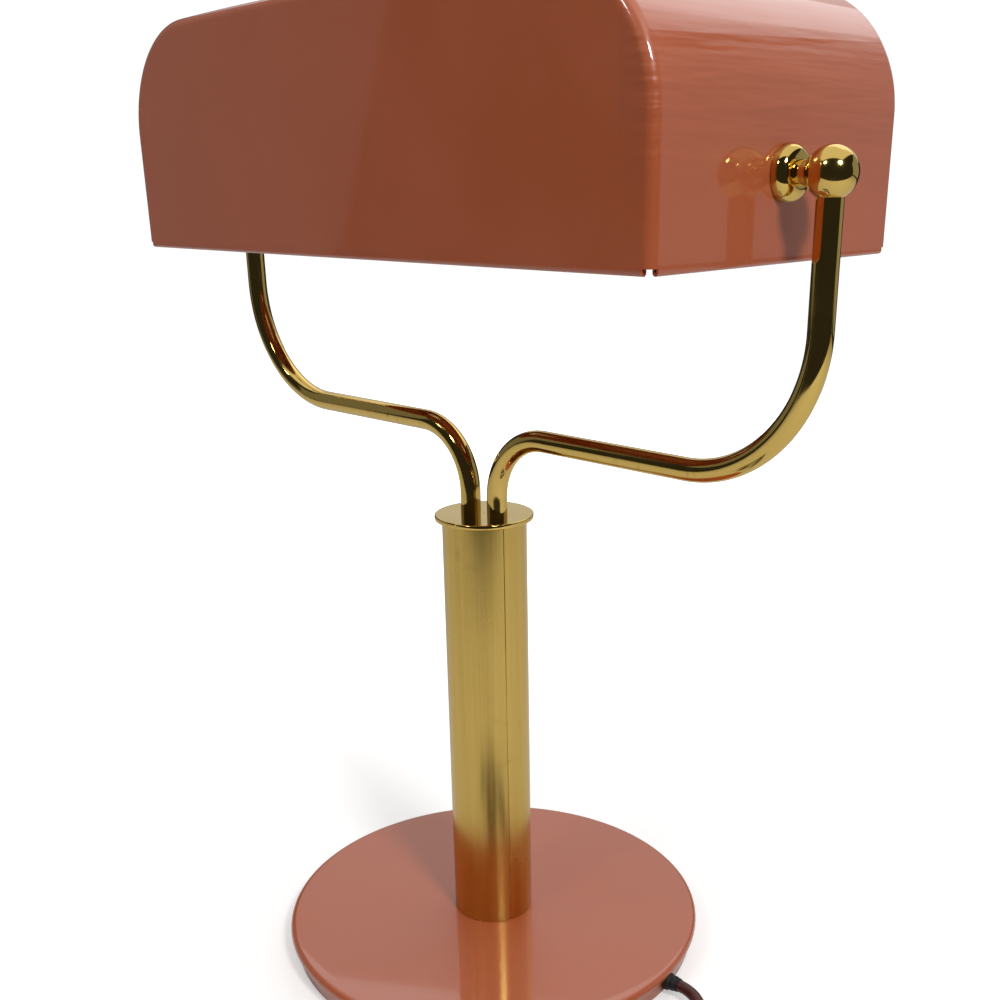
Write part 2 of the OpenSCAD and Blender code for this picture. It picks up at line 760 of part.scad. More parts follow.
module switch_lower() color(black) switch_frame() difference() {
    rounded_block(switch_l, switch_w, case_split, case_corner_r);
    translate([0, 0, case_wall]) rounded_block(well_l, switch_w - 2 * case_wall, case_split, well_corner_r);
    screw_places() translate([0, 0, case_wall]) cylinder(r = screw_r + fit, h = case_split);
}

// upper half of the case, with two cheeks inside that hold the rocker's pin
module switch_upper() color(black) switch_frame() difference() {
    translate([0, 0, case_split]) rounded_block(switch_l, switch_w, switch_h - case_split, case_corner_r);
    difference() {
        translate([0, 0, case_split - 1])
            rounded_block(well_l, switch_w - 2 * case_wall, switch_h - case_split - case_wall + 1,
                          well_corner_r);
        for (side = [-1, 1])
            translate([-cheek_l / 2, side * (cheek_in + cheek_t / 2) - cheek_t / 2, case_split])
                cube([cheek_l, cheek_t, switch_h]);
    }
    translate([0, switch_w / 2 - case_wall, rocker_axis_z])
        rotate([90, 0, 0]) cylinder(r = rocker_pin_r + fit, h = switch_w - 2 * case_wall);
    translate([-window_l / 2, -window_w / 2, case_split]) cube([window_l, window_w, switch_h]);
    screw_places() {
        translate([0, 0, case_split - 1]) cylinder(r = screw_r + fit, h = switch_h);
        translate([0, 0, switch_h - screw_sink]) cylinder(r = screw_head_r + fit, h = screw_sink + 1);
    }
}

// rocker with its pin, drawn at rest with the end farther from the lamp pressed
module switch_rocker() color(oxblood) switch_frame()
    translate([0, 0, rocker_axis_z])
        rotate([90, rocker_travel / 2, 0]) {
            translate([0, 0, -rocker_w / 2]) linear_extrude(rocker_w)
                polygon([[-rocker_l / 2, rocker_edge_z], [0, rocker_keel_z], [rocker_l / 2, rocker_edge_z],
                         [rocker_l / 2, rocker_tip_z], [0, rocker_dip_z], [-rocker_l / 2, rocker_tip_z]]);
            translate([0, 0, -cheek_in - cheek_t + gap])
                cylinder(r = rocker_pin_r, h = 2 * (cheek_in + cheek_t - gap));
        }

module switch_screws() color(steel) switch_frame() screw_places() {
    translate([0, 0, case_wall + 1]) cylinder(r = screw_r, h = switch_h - screw_sink - case_wall - 1);
    translate([0, 0, switch_h - screw_sink]) cylinder(r = screw_head_r, h = screw_head_h);
}

// flat two-pin plug with a long finger grip
module plug_body() color(black)
    translate([plug_start[0], plug_start[1], 0]) rotate([0, 0, 180]) {
        side = [[0, nose_w / 2], [nose_l, (nose_w + nose_flare) / 2],
                [shoulder_l, plug_w / 2 - shoulder_in], [grip_l, plug_w / 2],
                [plug_l - plug_chamfer, plug_w / 2], [plug_l, plug_w / 2 - plug_chamfer]];
        linear_extrude(plug_h)
            polygon(concat([for (p = side) [p[0], -p[1]]], reversed(side)));
    }

module plug_pins() color(brass)
    translate([plug_start[0], plug_start[1], plug_h / 2]) rotate([0, 0, 180])
        for (side = [-1, 1])
            translate([plug_l, side * pin_spacing / 2, 0]) rotate([0, 90, 0]) {
                cylinder(r = pin_r, h = pin_l - pin_r);
                translate([0, 0, pin_l - pin_r]) sphere(r = pin_r);
            }

// ---------------------------------------------------------------- the lamp

base_cover();
base_weight();
base_felt();
cord_gland();
cord_boot();
base_washer();
base_nut();
tension_rod();
stem_spigot();
stem_tube();
collar();
arm_bridge();
arm_locknuts();
inner_lead();
junction_block();
arm_left();
arm_right();
arm_lead_left();
arm_lead_right();
ball_left();
ball_right();
shade_wrap();
shade_front();
shade_back();
rosette_left();
rosette_right();
spring_washers();
spindle_left();
spindle_right();
inner_washers();
inner_nuts();
lampholder_left();
lampholder_right();
socket_shells();
bulb_left();
bulb_right();
bulb_caps();
cord_run();
switch_lower();
switch_upper();
switch_rocker();
switch_screws();
cord_link();
cord_coil();
coil_tie();
cord_tail();
plug_body();
plug_pins();
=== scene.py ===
# %% [markdown]
# A two-arm desk lamp with a tilting metal shade.
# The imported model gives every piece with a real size: base, stem, arms, spindles, lampholders.
# This lesson keeps all of that where it is, gives each piece a finish, and rebuilds in finer
# meshes the pieces whose surface the eye follows: the enamelled shade and base, the stem, collar,
# arms, balls and rosettes, the cord with its switch, and the plug.
# The frame is shared: metres, +Z up, origin under the centre of the base.

# %% Load the frame
import json
import math

import bmesh
import bpy
from mathutils import Matrix, Vector

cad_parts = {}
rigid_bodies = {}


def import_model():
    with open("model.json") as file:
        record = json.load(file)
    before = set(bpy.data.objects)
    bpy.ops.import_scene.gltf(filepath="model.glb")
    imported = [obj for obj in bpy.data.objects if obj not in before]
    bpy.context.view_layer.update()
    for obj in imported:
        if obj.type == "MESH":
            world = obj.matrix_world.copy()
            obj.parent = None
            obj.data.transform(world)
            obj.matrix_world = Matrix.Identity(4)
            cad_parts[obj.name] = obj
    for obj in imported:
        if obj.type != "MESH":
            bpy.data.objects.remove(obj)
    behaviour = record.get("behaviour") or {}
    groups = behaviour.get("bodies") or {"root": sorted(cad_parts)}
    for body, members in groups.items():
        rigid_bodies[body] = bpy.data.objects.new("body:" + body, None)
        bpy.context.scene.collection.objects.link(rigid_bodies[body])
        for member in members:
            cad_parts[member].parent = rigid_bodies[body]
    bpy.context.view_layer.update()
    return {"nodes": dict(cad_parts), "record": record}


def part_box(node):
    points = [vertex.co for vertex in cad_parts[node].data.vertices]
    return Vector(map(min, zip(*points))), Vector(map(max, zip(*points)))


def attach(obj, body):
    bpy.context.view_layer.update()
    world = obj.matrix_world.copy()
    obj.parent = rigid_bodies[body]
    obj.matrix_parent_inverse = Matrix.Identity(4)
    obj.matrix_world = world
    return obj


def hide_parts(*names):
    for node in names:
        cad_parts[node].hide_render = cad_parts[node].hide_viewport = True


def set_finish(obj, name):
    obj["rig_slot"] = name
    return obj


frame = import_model()
NODES = frame["nodes"]

MM = 0.001

# %% [markdown]
# The camera stands in front of the lamp, to its right and a little higher than the middle.
# It could be aimed with a constraint, but a matrix built from its three angles says exactly where
# it points, and its small lens shift keeps the lamp's verticals where they belong.

# %% Camera
CAMERA_PLACE = Vector((0.43755, -0.40169, 0.39534))
CAMERA_YAW = math.radians(45.828)
CAMERA_PITCH = math.radians(20.76)
CAMERA_ROLL = math.radians(-0.863)
SENSOR = 36.0
LENS = 44.6046
SHIFT_X, SHIFT_Y = -0.02002, 0.13971

yaw_sin, yaw_cos = math.sin(CAMERA_YAW), math.cos(CAMERA_YAW)
pitch_sin, pitch_cos = math.sin(CAMERA_PITCH), math.cos(CAMERA_PITCH)
back = Vector((yaw_sin * pitch_cos, -yaw_cos * pitch_cos, pitch_sin))
level_right = (-back).cross(Vector((0, 0, 1))).normalized()
level_up = level_right.cross(-back)
right = level_right * math.cos(CAMERA_ROLL) + level_up * math.sin(CAMERA_ROLL)
up = level_up * math.cos(CAMERA_ROLL) - level_right * math.sin(CAMERA_ROLL)

camera_data = bpy.data.cameras.new("camera")
camera_data.sensor_width = SENSOR
camera_data.lens = LENS
camera_data.shift_x = SHIFT_X
camera_data.shift_y = SHIFT_Y
camera_data.clip_start = 0.01
camera = bpy.data.objects.new("camera", camera_data)
bpy.context.scene.collection.objects.link(camera)
camera.matrix_world = Matrix.Translation(CAMERA_PLACE) @ Matrix((right, up, back)).transposed().to_4x4()
bpy.context.scene.camera = camera
print("camera:", round(camera_data.lens, 2), "mm lens")

# %% [markdown]
# Nearly every mesh in this lesson is made by one of three hand tools. A lathe turns a profile
# about an axis, a sweep carries a round section along a path, and a skin joins rows of points into
# a sheet. Modifiers could do the same, but plain vertices keep every size in sight.

# %% Mesh tools
SMOOTH_ANGLE = math.radians(35)


def mesh_piece(name, points, faces):
    """A mesh object whose flat faces meet in crisp edges and whose curves are smooth."""
    mesh = bpy.data.meshes.new(name)
    mesh.from_pydata([tuple(p) for p in points], [], faces)
    work = bmesh.new()
    work.from_mesh(mesh)
    bmesh.ops.remove_doubles(work, verts=work.verts, dist=1e-7)
    bmesh.ops.recalc_face_normals(work, faces=work.faces)
    work.to_mesh(mesh)
    work.free()
    piece = bpy.data.objects.new(name, mesh)
    bpy.context.scene.collection.objects.link(piece)
    smooth_piece(piece)
    return piece


def smooth_piece(piece, angle=SMOOTH_ANGLE):
    """Smooth shading, with a crisp edge wherever two faces meet at more than the angle."""
    mesh = piece.data
    work = bmesh.new()
    work.from_mesh(mesh)
    for edge in work.edges:
        edge.smooth = len(edge.link_faces) == 2 and edge.calc_face_angle(0.0) < angle
    for face in work.faces:
        face.smooth = True
    work.to_mesh(mesh)
    work.free()


def rows_to_faces(rows, columns, closed_rows=False, closed_columns=True):
    """Faces between rows of points, each row being a ring or a strip of the same number."""
    faces = []
    for i in range(rows if closed_rows else rows - 1):
        for k in range(columns if closed_columns else columns - 1):
            a, b = i * columns, ((i + 1) % rows) * columns
            k2 = (k + 1) % columns
            faces.append((a + k, a + k2, b + k2, b + k))
    return faces


def lathe(name, profile, turns=96, place=(0, 0, 0), axis="Z"):
    """Turns a closed profile of (distance along the axis, radius) points into a solid."""
    place = Vector(place)
    points = []
    for i in range(turns):
        a = 2 * math.pi * i / turns
        for along, radius in profile:
            c, s = radius * math.cos(a), radius * math.sin(a)
            points.append(place + (Vector((along, c, s)) if axis == "X" else Vector((c, s, along))))
    return mesh_piece(name, points, rows_to_faces(turns, len(profile), closed_rows=True))


def sweep(name, path, radius_at, sides=20):
    """Carries a circle along a path; radius_at gives the radius for a share 0 to 1 of its points."""
    points = []
    start = (path[1] - path[0]).normalized()
    side = Vector((0, 1, 0)) if abs(start.z) > 0.9 else Vector((0, 0, 1)).cross(start).normalized()
    for i, centre in enumerate(path):
        ahead = path[min(i + 1, len(path) - 1)] - path[max(i - 1, 0)]
        ahead.normalize()
        side = (side - ahead * side.dot(ahead)).normalized()
        other = ahead.cross(side)
        r = radius_at(i / (len(path) - 1))
        for k in range(sides):
            a = 2 * math.pi * k / sides
            points.append(centre + side * (r * math.cos(a)) + other * (r * math.sin(a)))
    faces = rows_to_faces(len(path), sides)
    faces.append(tuple(reversed(range(sides))))
    last = (len(path) - 1) * sides
    faces.append(tuple(last + k for k in range(sides)))
    return mesh_piece(name, points, faces)


def path_length(path):
    return sum((b - a).length for a, b in zip(path, path[1:]))


def smooth_path(points, steps=6):
    """A Catmull-Rom curve through the points, in metres from millimetres."""
    p = [Vector(q) * MM for q in points]
    p = [2 * p[0] - p[1]] + p + [2 * p[-1] - p[-2]]
    path = []
    for i in range(1, len(p) - 2):
        for k in range(steps):
            t = k / steps
            path.append(0.5 * (2 * p[i] + (p[i + 1] - p[i - 1]) * t
                               + (2 * p[i - 1] - 5 * p[i] + 4 * p[i + 1] - p[i + 2]) * t ** 2
                               + (3 * p[i] - p[i - 1] - 3 * p[i + 1] + p[i + 2]) * t ** 3))
    return path + [p[-2]]


print("mesh tools ready")

# %% [markdown]
# The cord is one round flexible lead. It leaves the base through a gland, comes down on the
# table, passes an in-line switch, and ends in a two-pin plug; what is not needed is tied in a coil.
# A curve object could carry it, but a swept mesh lets its sleeve taper.
# The points where it is not coiled are listed one by one, in millimetres.

# %% Cord routes
CORD_D = 0.006
SWITCH_L = 56.0
SWITCH_HEADING = math.radians(-65)
COIL_CENTRE = (137.0, -124.0)
COIL_OUTER_R = 44.5
COIL_INNER_R = 23.5
COIL_PITCH = 6.0
COIL_LOW_Z = 3.0
COIL_HIGH_Z = 9.0
CLIMB_FROM, CLIMB_SHARE = 0.94, 0.12
STEPS_PER_TURN = 48

boot_route = [(109.9, 19.4, 7.5), (111.8, 19.7, 7.5), (113.6, 19.95, 7.5), (115.5, 20.1, 7.5)]
run_route = [(120, 20.1, 7.5), (125, 19, 7.4), (129, 17.4, 7), (133, 14.8, 6.4), (136.5, 11.4, 5.6),
             (139.5, 7, 4.8), (142, 2, 4.2), (145, -4.5, 4), (148.5, -12, 4.8), (152, -19.5, 6)]
link_route = [(175.7, -70.3, 6), (178, -76, 4.6), (179.8, -83, 3.4), (181, -91, 3),
              (181.5, -101, 3), (181.5, -112, 3)]
tail_route = [(181.2, -135, 8.6), (179, -147, 7.4), (174.5, -159, 5.4), (167, -169.5, 3.4),
              (157, -177.5, 3), (145.5, -182.5, 3), (133, -184.5, 3.4), (121, -185, 5), (110, -185, 6.75)]


def coil_path():
    """Clockwise turns: spiralling in along the table, then back out on top of them."""
    turns = (COIL_OUTER_R - COIL_INNER_R) / COIL_PITCH
    steps = int(turns * STEPS_PER_TURN)
    path = []
    for layer in (0, 1):
        for i in range(steps + (layer == 1)):
            share = i / steps
            angle = -2 * math.pi * turns * (share + layer)
            shrink = share if layer == 0 else 1 - share
            radius = COIL_OUTER_R - (COIL_OUTER_R - COIL_INNER_R) * shrink
            climb = min(max((share + layer - CLIMB_FROM) / CLIMB_SHARE, 0), 1)
            z = COIL_LOW_Z + (COIL_HIGH_Z - COIL_LOW_Z) * climb
            path.append(Vector((COIL_CENTRE[0] + radius * math.cos(angle),
                                COIL_CENTRE[1] + radius * math.sin(angle), z)) * MM)
    return path


near_path = smooth_path(boot_route + run_route)
far_path = smooth_path(link_route) + coil_path() + smooth_path(tail_route)
print("cord:", round(path_length(near_path), 3), "m to the switch,", round(path_length(far_path), 3),
      "m from it to the plug")

# %% [markdown]
# Both lengths of cord are swept as they lie. The sleeve is a separate soft piece that starts at
# the gland, thicker than the cord, and tapers down to it over a few ring-shaped ribs.

# %% Cord meshes
cord_near = sweep("cord_to_switch", near_path, lambda share: CORD_D / 2)
cord_far = sweep("cord_to_plug", far_path, lambda share: CORD_D / 2)
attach(cord_near, "stand")
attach(cord_far, "stand")
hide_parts("cord_run")
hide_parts("cord_link", "cord_coil", "cord_tail")
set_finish(cord_near, "cord_sheath")
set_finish(cord_far, "cord_sheath")

boot_path = smooth_path(boot_route, 8)
BOOT_ROOT_R = 0.0042
BOOT_TIP_R = 0.0034
BOOT_RIBS = 2
BOOT_RIB_H = 0.0002


def boot_radius(share):
    rib = BOOT_RIB_H * math.cos(2 * math.pi * BOOT_RIBS * share)
    return BOOT_ROOT_R + (BOOT_TIP_R - BOOT_ROOT_R) * share + rib * (1 - share)


boot = sweep("cord_sleeve", boot_path, boot_radius, sides=28)
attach(boot, "stand")
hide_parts("cord_boot")
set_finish(boot, "black_rubber")
print("cord meshes:", len(cord_far.data.vertices), "points in the long one")

# %% [markdown]
# The shade is two pressed panels and one sheet bent over them, all about a millimetre thick.
# Every piece follows the same arch: up one end wall, round the corner, over a slightly crowned
# top and down again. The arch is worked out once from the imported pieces, and the pieces are open
# sheets that a Solidify modifier then gives their thickness.

# %% The arch
shade_low, shade_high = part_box("shade_wrap")
SHADE_END = shade_high.x
SHADE_FOOT = shade_low.z
WRAP_HALF = shade_high.y
PANEL_FACE = -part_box("shade_front")[0].y
CORNER_R = 0.049
WALL_H = 0.0515
WALL_TOP = SHADE_FOOT + WALL_H
CORNER_X = SHADE_END - CORNER_R
CROWN_ANGLE = math.radians(2.1)
CROWN_R = CORNER_R + CORNER_X / math.sin(CROWN_ANGLE)
CROWN_Z = WALL_TOP - CORNER_X / math.tan(CROWN_ANGLE)
RIM_R = 0.004
SHEET = 0.001
NOTCH = 0.0025
FOLD_R = 0.0013
HEM = 0.006
CORNER_STEPS = 40
CROWN_STEPS = 48


def arch_line(foot_z, wall_steps=(0.004, 0.02)):
    """Points (x, z) and outward directions from the right foot over the top to the left foot."""
    half = [(Vector((SHADE_END, z)), Vector((1, 0)))
            for z in [foot_z, foot_z + wall_steps[0], foot_z + wall_steps[1]]]
    for k in range(CORNER_STEPS + 1):
        a = k * (math.pi / 2 - CROWN_ANGLE) / CORNER_STEPS
        out = Vector((math.cos(a), math.sin(a)))
        half.append((Vector((CORNER_X, WALL_TOP)) + out * CORNER_R, out))
    for k in range(1, CROWN_STEPS // 2 + 1):
        a = math.pi / 2 - CROWN_ANGLE + 2 * k * CROWN_ANGLE / CROWN_STEPS
        out = Vector((math.cos(a), math.sin(a)))
        half.append((Vector((0, CROWN_Z)) + out * CROWN_R, out))
    mirrored = [(Vector((-p.x, p.y)), Vector((-o.x, o.y))) for p, o in reversed(half[:-1])]
    return half + mirrored


def sheet_piece(name, points, faces, outside_at, outside_way):
    """An open sheet made solid: the face nearest outside_at looks the way outside_way."""
    piece = mesh_piece(name, points, faces)
    nearest = min(piece.data.polygons, key=lambda f: (f.center - Vector(outside_at)).length)
    if nearest.normal.dot(Vector(outside_way)) < 0:
        piece.data.flip_normals()
    solid = piece.modifiers.new("thickness", "SOLIDIFY")
    solid.thickness = SHEET
    solid.offset = -1
    solid.use_even_offset = True
    apply_modifiers(piece)
    smooth_piece(piece)
    return piece


def apply_modifiers(piece):
    """Replaces the mesh by its modified one, so that what is seen is plain mesh."""
    depsgraph = bpy.context.evaluated_depsgraph_get()
    mesh = bpy.data.meshes.new_from_object(piece.evaluated_get(depsgraph))
    piece.modifiers.clear()
    old = piece.data
    piece.data = mesh
    mesh.name = piece.name
    bpy.data.meshes.remove(old)


print("arch:", len(arch_line(SHADE_FOOT)), "points, crown radius", round(CROWN_R, 2), "m")

# %% [markdown]
# The wrap is folded inward at both feet, which makes the lower edge round and stiff.

# %% The wrap over the shade
FOLD_STEPS = 8
DEPTH_COLUMNS = (-1, -0.97, 0, 0.97, 1)


def wrap_line():
    """The arch with the folded hem added at each foot, as (x, z)."""
    line = [p for p, out in arch_line(SHADE_FOOT + FOLD_R)]
    hem = [Vector((SHADE_END - 2 * FOLD_R, SHADE_FOOT + HEM))]
    for k in range(FOLD_STEPS + 1):
        a = math.pi * k / FOLD_STEPS
        hem.append(Vector((SHADE_END - FOLD_R - FOLD_R * math.cos(a),
                           SHADE_FOOT + FOLD_R - FOLD_R * math.sin(a))))
    left = [Vector((-p.x, p.y)) for p in reversed(hem)]
    return hem[:-1] + line + left[1:]


line = wrap_line()
wrap_points = [Vector((p.x, c * WRAP_HALF, p.y)) for p in line for c in DEPTH_COLUMNS]
wrap = sheet_piece("shade_cover", wrap_points,
                   rows_to_faces(len(line), len(DEPTH_COLUMNS), closed_columns=False),
                   (0, 0, shade_high.z), (0, 0, 1))
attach(wrap, "shade")
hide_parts("shade_wrap")
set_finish(wrap, "enamel")
print("shade cover:", len(wrap.data.polygons), "faces")

# %% [markdown]
# Each panel is flat, with a rim that rolls back to meet the wrap. The rim stops just above the
# lower edge, which leaves a small relief notch at each corner, and the lower edge is folded in.

# %% The front and back panels
RIM_STEPS = 10
FLAT_BAND = 0.0012


def panel_points(facing):
    """Points and faces of one panel's outer skin; facing is -1 for the front, 1 for the back."""
    arch = arch_line(SHADE_FOOT + NOTCH)
    below = (Vector((SHADE_END, SHADE_FOOT + FOLD_R)), Vector((1, 0)))
    rows = [below] + arch + [(Vector((-below[0].x, below[0].y)), Vector((-1, 0)))]
    section = [(RIM_R * (1 - math.cos(a)), WRAP_HALF + RIM_R * math.sin(a))
               for a in [math.pi / 2 * k / RIM_STEPS for k in range(RIM_STEPS + 1)]]
    section.append((RIM_R + FLAT_BAND, PANEL_FACE))
    columns = len(section)
    points = [Vector((p.x - out.x * inset, facing * y, p.y - out.y * inset))
              for p, out in rows for inset, y in section]
    faces = []
    for i in range(len(rows) - 1):
        at_notch = i in (0, len(rows) - 2)
        for k in range(RIM_STEPS if at_notch else 0, columns - 1):
            a, b = i * columns + k, (i + 1) * columns + k
            faces.append((a, a + 1, b + 1, b))
    edge = [i * columns + columns - 1 for i in range(len(rows))]
    faces.append(tuple(edge))
    last = (len(rows) - 1) * columns
    corners = [last + columns - 2, last + columns - 1, columns - 1, columns - 2]
    fold = []
    for k in range(FOLD_STEPS + 1):
        a = math.pi * k / FOLD_STEPS
        fold.append((PANEL_FACE - FOLD_R + FOLD_R * math.cos(a),
                     SHADE_FOOT + FOLD_R - FOLD_R * math.sin(a)))
    fold.append((PANEL_FACE - 2 * FOLD_R, SHADE_FOOT + HEM))
    start = len(points)
    for y, z in fold[1:]:
        points += [Vector((points[c].x, facing * y, z)) for c in corners]
    wide = len(corners)
    for r in range(len(fold) - 1):
        for c in range(wide - 1):
            upper = corners if r == 0 else [start + (r - 1) * wide + q for q in range(wide)]
            lower = [start + r * wide + q for q in range(wide)]
            faces.append((upper[c], upper[c + 1], lower[c + 1], lower[c]))
    return points, faces


for name, facing, node in (("panel_front", -1, "shade_front"), ("panel_back", 1, "shade_back")):
    points, faces = panel_points(facing)
    panel = sheet_piece(name, points, faces, (0, facing * PANEL_FACE, WALL_TOP), (0, facing, 0))
    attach(panel, "shade")
    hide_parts(node)
    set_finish(panel, "enamel")
    print(name, len(panel.data.polygons), "faces")

# %% [markdown]
# The stand is turned and drawn metal. The base is a spun dish: flat on top, with a full round
# bead at its rim and a side that leans in beneath it. A lathe with many turns keeps the long
# highlights on it smooth.

# %% The base cover
base_low, base_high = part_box("base_cover")
BASE_R = base_high.x
FOOT_IN = 0.003
BASE_FOOT_R = BASE_R - FOOT_IN
FOOT_EDGE = 0.0006
BEAD_R = 0.003
BEAD_STEPS = 14
COVER = 0.0015
SIDE_IN, SIDE_DROP = 0.0011, 0.0002
UNDERCUT = 0.0005
INNER_SLOPE = 0.003
HOLE_R = 0.0185
FLAT_RING_R = 0.06
FLAT_MARGIN = 0.004
bead_start, bead_end = math.radians(90), math.radians(-32)
bead_z, bead_centre_r = base_high.z - BEAD_R, BASE_R - BEAD_R
base_profile = [(base_high.z, HOLE_R), (base_high.z, FLAT_RING_R),
                (base_high.z, bead_centre_r - FLAT_MARGIN)]
for k in range(BEAD_STEPS + 1):
    a = bead_start + (bead_end - bead_start) * k / BEAD_STEPS
    base_profile.append((bead_z + BEAD_R * math.sin(a), bead_centre_r + BEAD_R * math.cos(a)))
side_top = base_profile[-1][0] - SIDE_DROP
base_profile += [(side_top, BASE_R - SIDE_IN - UNDERCUT), (base_low.z + FOOT_EDGE, BASE_FOOT_R),
                 (base_low.z, BASE_FOOT_R - FOOT_EDGE), (base_low.z, BASE_FOOT_R - COVER),
                 (bead_z, bead_centre_r - COVER),
                 (base_high.z - COVER, bead_centre_r - COVER - INNER_SLOPE),
                 (base_high.z - COVER, HOLE_R)]
base = lathe("base_dish", base_profile, turns=256)
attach(base, "stand")
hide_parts("base_cover")
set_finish(base, "enamel")
print("base dish:", round(2 * BASE_R, 4), "m across")

# %% [markdown]
# The stem is a brass tube rolled from strip, so a fine seam runs down it. A lathe cannot make
# that, so the tube's rings are written out, with a narrow dip in each where the seam lies.

# %% The stem
stem_low, stem_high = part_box("stem_tube")
STEM_R = stem_high.x
STEM_WALL = 0.0015
SEAM_ANGLE = math.radians(-17)
SEAM_HALF_W = 0.0002
SEAM_HALF = SEAM_HALF_W / STEM_R
SEAM_DEEP = 0.00022
SEAM_PLACES = (-3, -1, 0, 1, 3)
STEM_SIDES = 180
EDGE = 0.0003
stem_angles = [SEAM_ANGLE + place * SEAM_HALF for place in SEAM_PLACES]
stem_angles += [SEAM_ANGLE + 2 * math.pi * k / STEM_SIDES for k in range(1, STEM_SIDES)]
stem_section = [(stem_low.z, STEM_R - EDGE), (stem_low.z + EDGE, STEM_R),
                (stem_high.z - EDGE, STEM_R), (stem_high.z, STEM_R - EDGE),
                (stem_high.z, STEM_R - STEM_WALL), (stem_low.z, STEM_R - STEM_WALL)]
stem_points = []
for i, a in enumerate(stem_angles):
    for z, r in stem_section:
        at_seam = i == SEAM_PLACES.index(0) and r > STEM_R - STEM_WALL / 2
        sunk = SEAM_DEEP if at_seam else 0
        stem_points.append(Vector(((r - sunk) * math.cos(a), (r - sunk) * math.sin(a), z)))
stem_faces = rows_to_faces(len(stem_angles), len(stem_section), closed_rows=True)
stem = mesh_piece("stem", stem_points, stem_faces)
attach(stem, "stand")
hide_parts("stem_tube")
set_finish(stem, "satin_brass")
print("stem:", round(stem_high.z - stem_low.z, 4), "m tall")

# %% [markdown]
# The collar closes the stem. Its edges are broken with a small round, because a dead sharp edge
# catches no light.

# %% The collar
collar_low, collar_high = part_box("collar")
COLLAR_R = collar_high.x
COLLAR_EDGE = 0.0006
COLLAR_FLAT_MARGIN = 0.0016
ARM_RING_R = 0.012
PINHOLE_R = 0.0004
STEM_FIT = 0.0017
collar_foot = stem_high.z
spigot_r = STEM_R - STEM_FIT


def rounded(corner_z, corner_r, round_r, first, last, steps=5):
    """Profile points round a corner's small arc, its centre at (corner_z, corner_r)."""
    arc = [first + (last - first) * k / steps for k in range(steps + 1)]
    return [(corner_z + round_r * math.sin(a), corner_r + round_r * math.cos(a)) for a in arc]


edge_r = COLLAR_R - COLLAR_EDGE
collar_profile = [(collar_high.z, PINHOLE_R), (collar_high.z, ARM_RING_R),
                  (collar_high.z, COLLAR_R - COLLAR_FLAT_MARGIN)]
collar_profile += rounded(collar_high.z - COLLAR_EDGE, edge_r, COLLAR_EDGE, math.pi / 2, 0)
collar_profile += rounded(collar_foot + COLLAR_EDGE, edge_r, COLLAR_EDGE, 0, -math.pi / 2)
collar_profile += [(collar_foot, spigot_r), (collar_low.z, spigot_r), (collar_low.z, PINHOLE_R)]
collar = lathe("collar_disc", collar_profile, turns=160)
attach(collar, "stand")
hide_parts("collar")
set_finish(collar, "polished_brass")
print("collar:", round(2 * COLLAR_R, 4), "m across")

# %% [markdown]
# Each arm is one tube bent twice: out of the collar, along the level, and up to its ball.
# Its line is straight stretches and quarter circles, so a formula gives every point.

# %% The arms
ARM_R = 0.005
ARM_X = 0.0095
BEND_LOW = 0.032
BEND_HIGH = 0.060
BALL_X = 0.184
PIVOT_Z = 0.393
BALL_R = 0.0095
ARM_STRAIGHT = 0.009
ARM_IN_BALL = 0.003
LOW_BEND_Z = collar_high.z + ARM_STRAIGHT
LEVEL_Z = LOW_BEND_Z + BEND_LOW
HIGH_BEND_Z = LEVEL_Z + BEND_HIGH
LOW_STEPS, HIGH_STEPS = 24, 36


def arm_path(side):
    """The middle line of one arm from its foot to its ball; side is 1 for the right, -1 for the left."""
    path = [Vector((ARM_X, 0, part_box("arm_right")[0].z)), Vector((ARM_X, 0, collar_high.z))]
    for k in range(LOW_STEPS + 1):
        a = math.pi / 2 * k / LOW_STEPS
        path.append(Vector((ARM_X + BEND_LOW * (1 - math.cos(a)), 0,
                            LOW_BEND_Z + BEND_LOW * math.sin(a))))
    for k in range(HIGH_STEPS + 1):
        a = math.pi / 2 * k / HIGH_STEPS
        path.append(Vector((BALL_X - BEND_HIGH * (1 - math.sin(a)), 0,
                            HIGH_BEND_Z - BEND_HIGH * math.cos(a))))
    path.append(Vector((BALL_X, 0, PIVOT_Z - BALL_R + ARM_IN_BALL)))
    return [Vector((side * p.x, p.y, p.z)) for p in path]


for side, name in ((1, "right"), (-1, "left")):
    arm = sweep("arm_tube_" + name, arm_path(side), lambda share: ARM_R, sides=48)
    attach(arm, "stand")
    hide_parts("arm_" + name)
    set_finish(arm, "polished_brass")
    print("arm", name, round(path_length(arm_path(side)), 3), "m long")

# %% [markdown]
# A ball stops each arm. It is turned with a flat towards the shade, where the hollow spindle runs,
# and the arm ends inside its foot. The rosette beside it is a shallow dome with a full-width rim
# that lies against the end wall.

# %% Balls and rosettes
SPINDLE_R = 0.004
FLAT_EDGE = 0.001
FLAT_AT = math.sqrt(BALL_R ** 2 - (SPINDLE_R + FLAT_EDGE) ** 2)
BORE_R = SPINDLE_R + 0.00005
BORE_LIP = 0.0008
BORE_END = -0.001
ON_AXIS = 1e-5
BALL_STEPS, DOME_STEPS = 48, 24
ROSETTE_R = 0.01025
ROSETTE_EDGE = 0.0004
ROSETTE_RIM = 0.0015
ROSETTE_NECK = 0.0033
NECK_WALL = 0.0006
NECK_R = SPINDLE_R + NECK_WALL
ROSETTE_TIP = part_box("rosette_right")[1].x

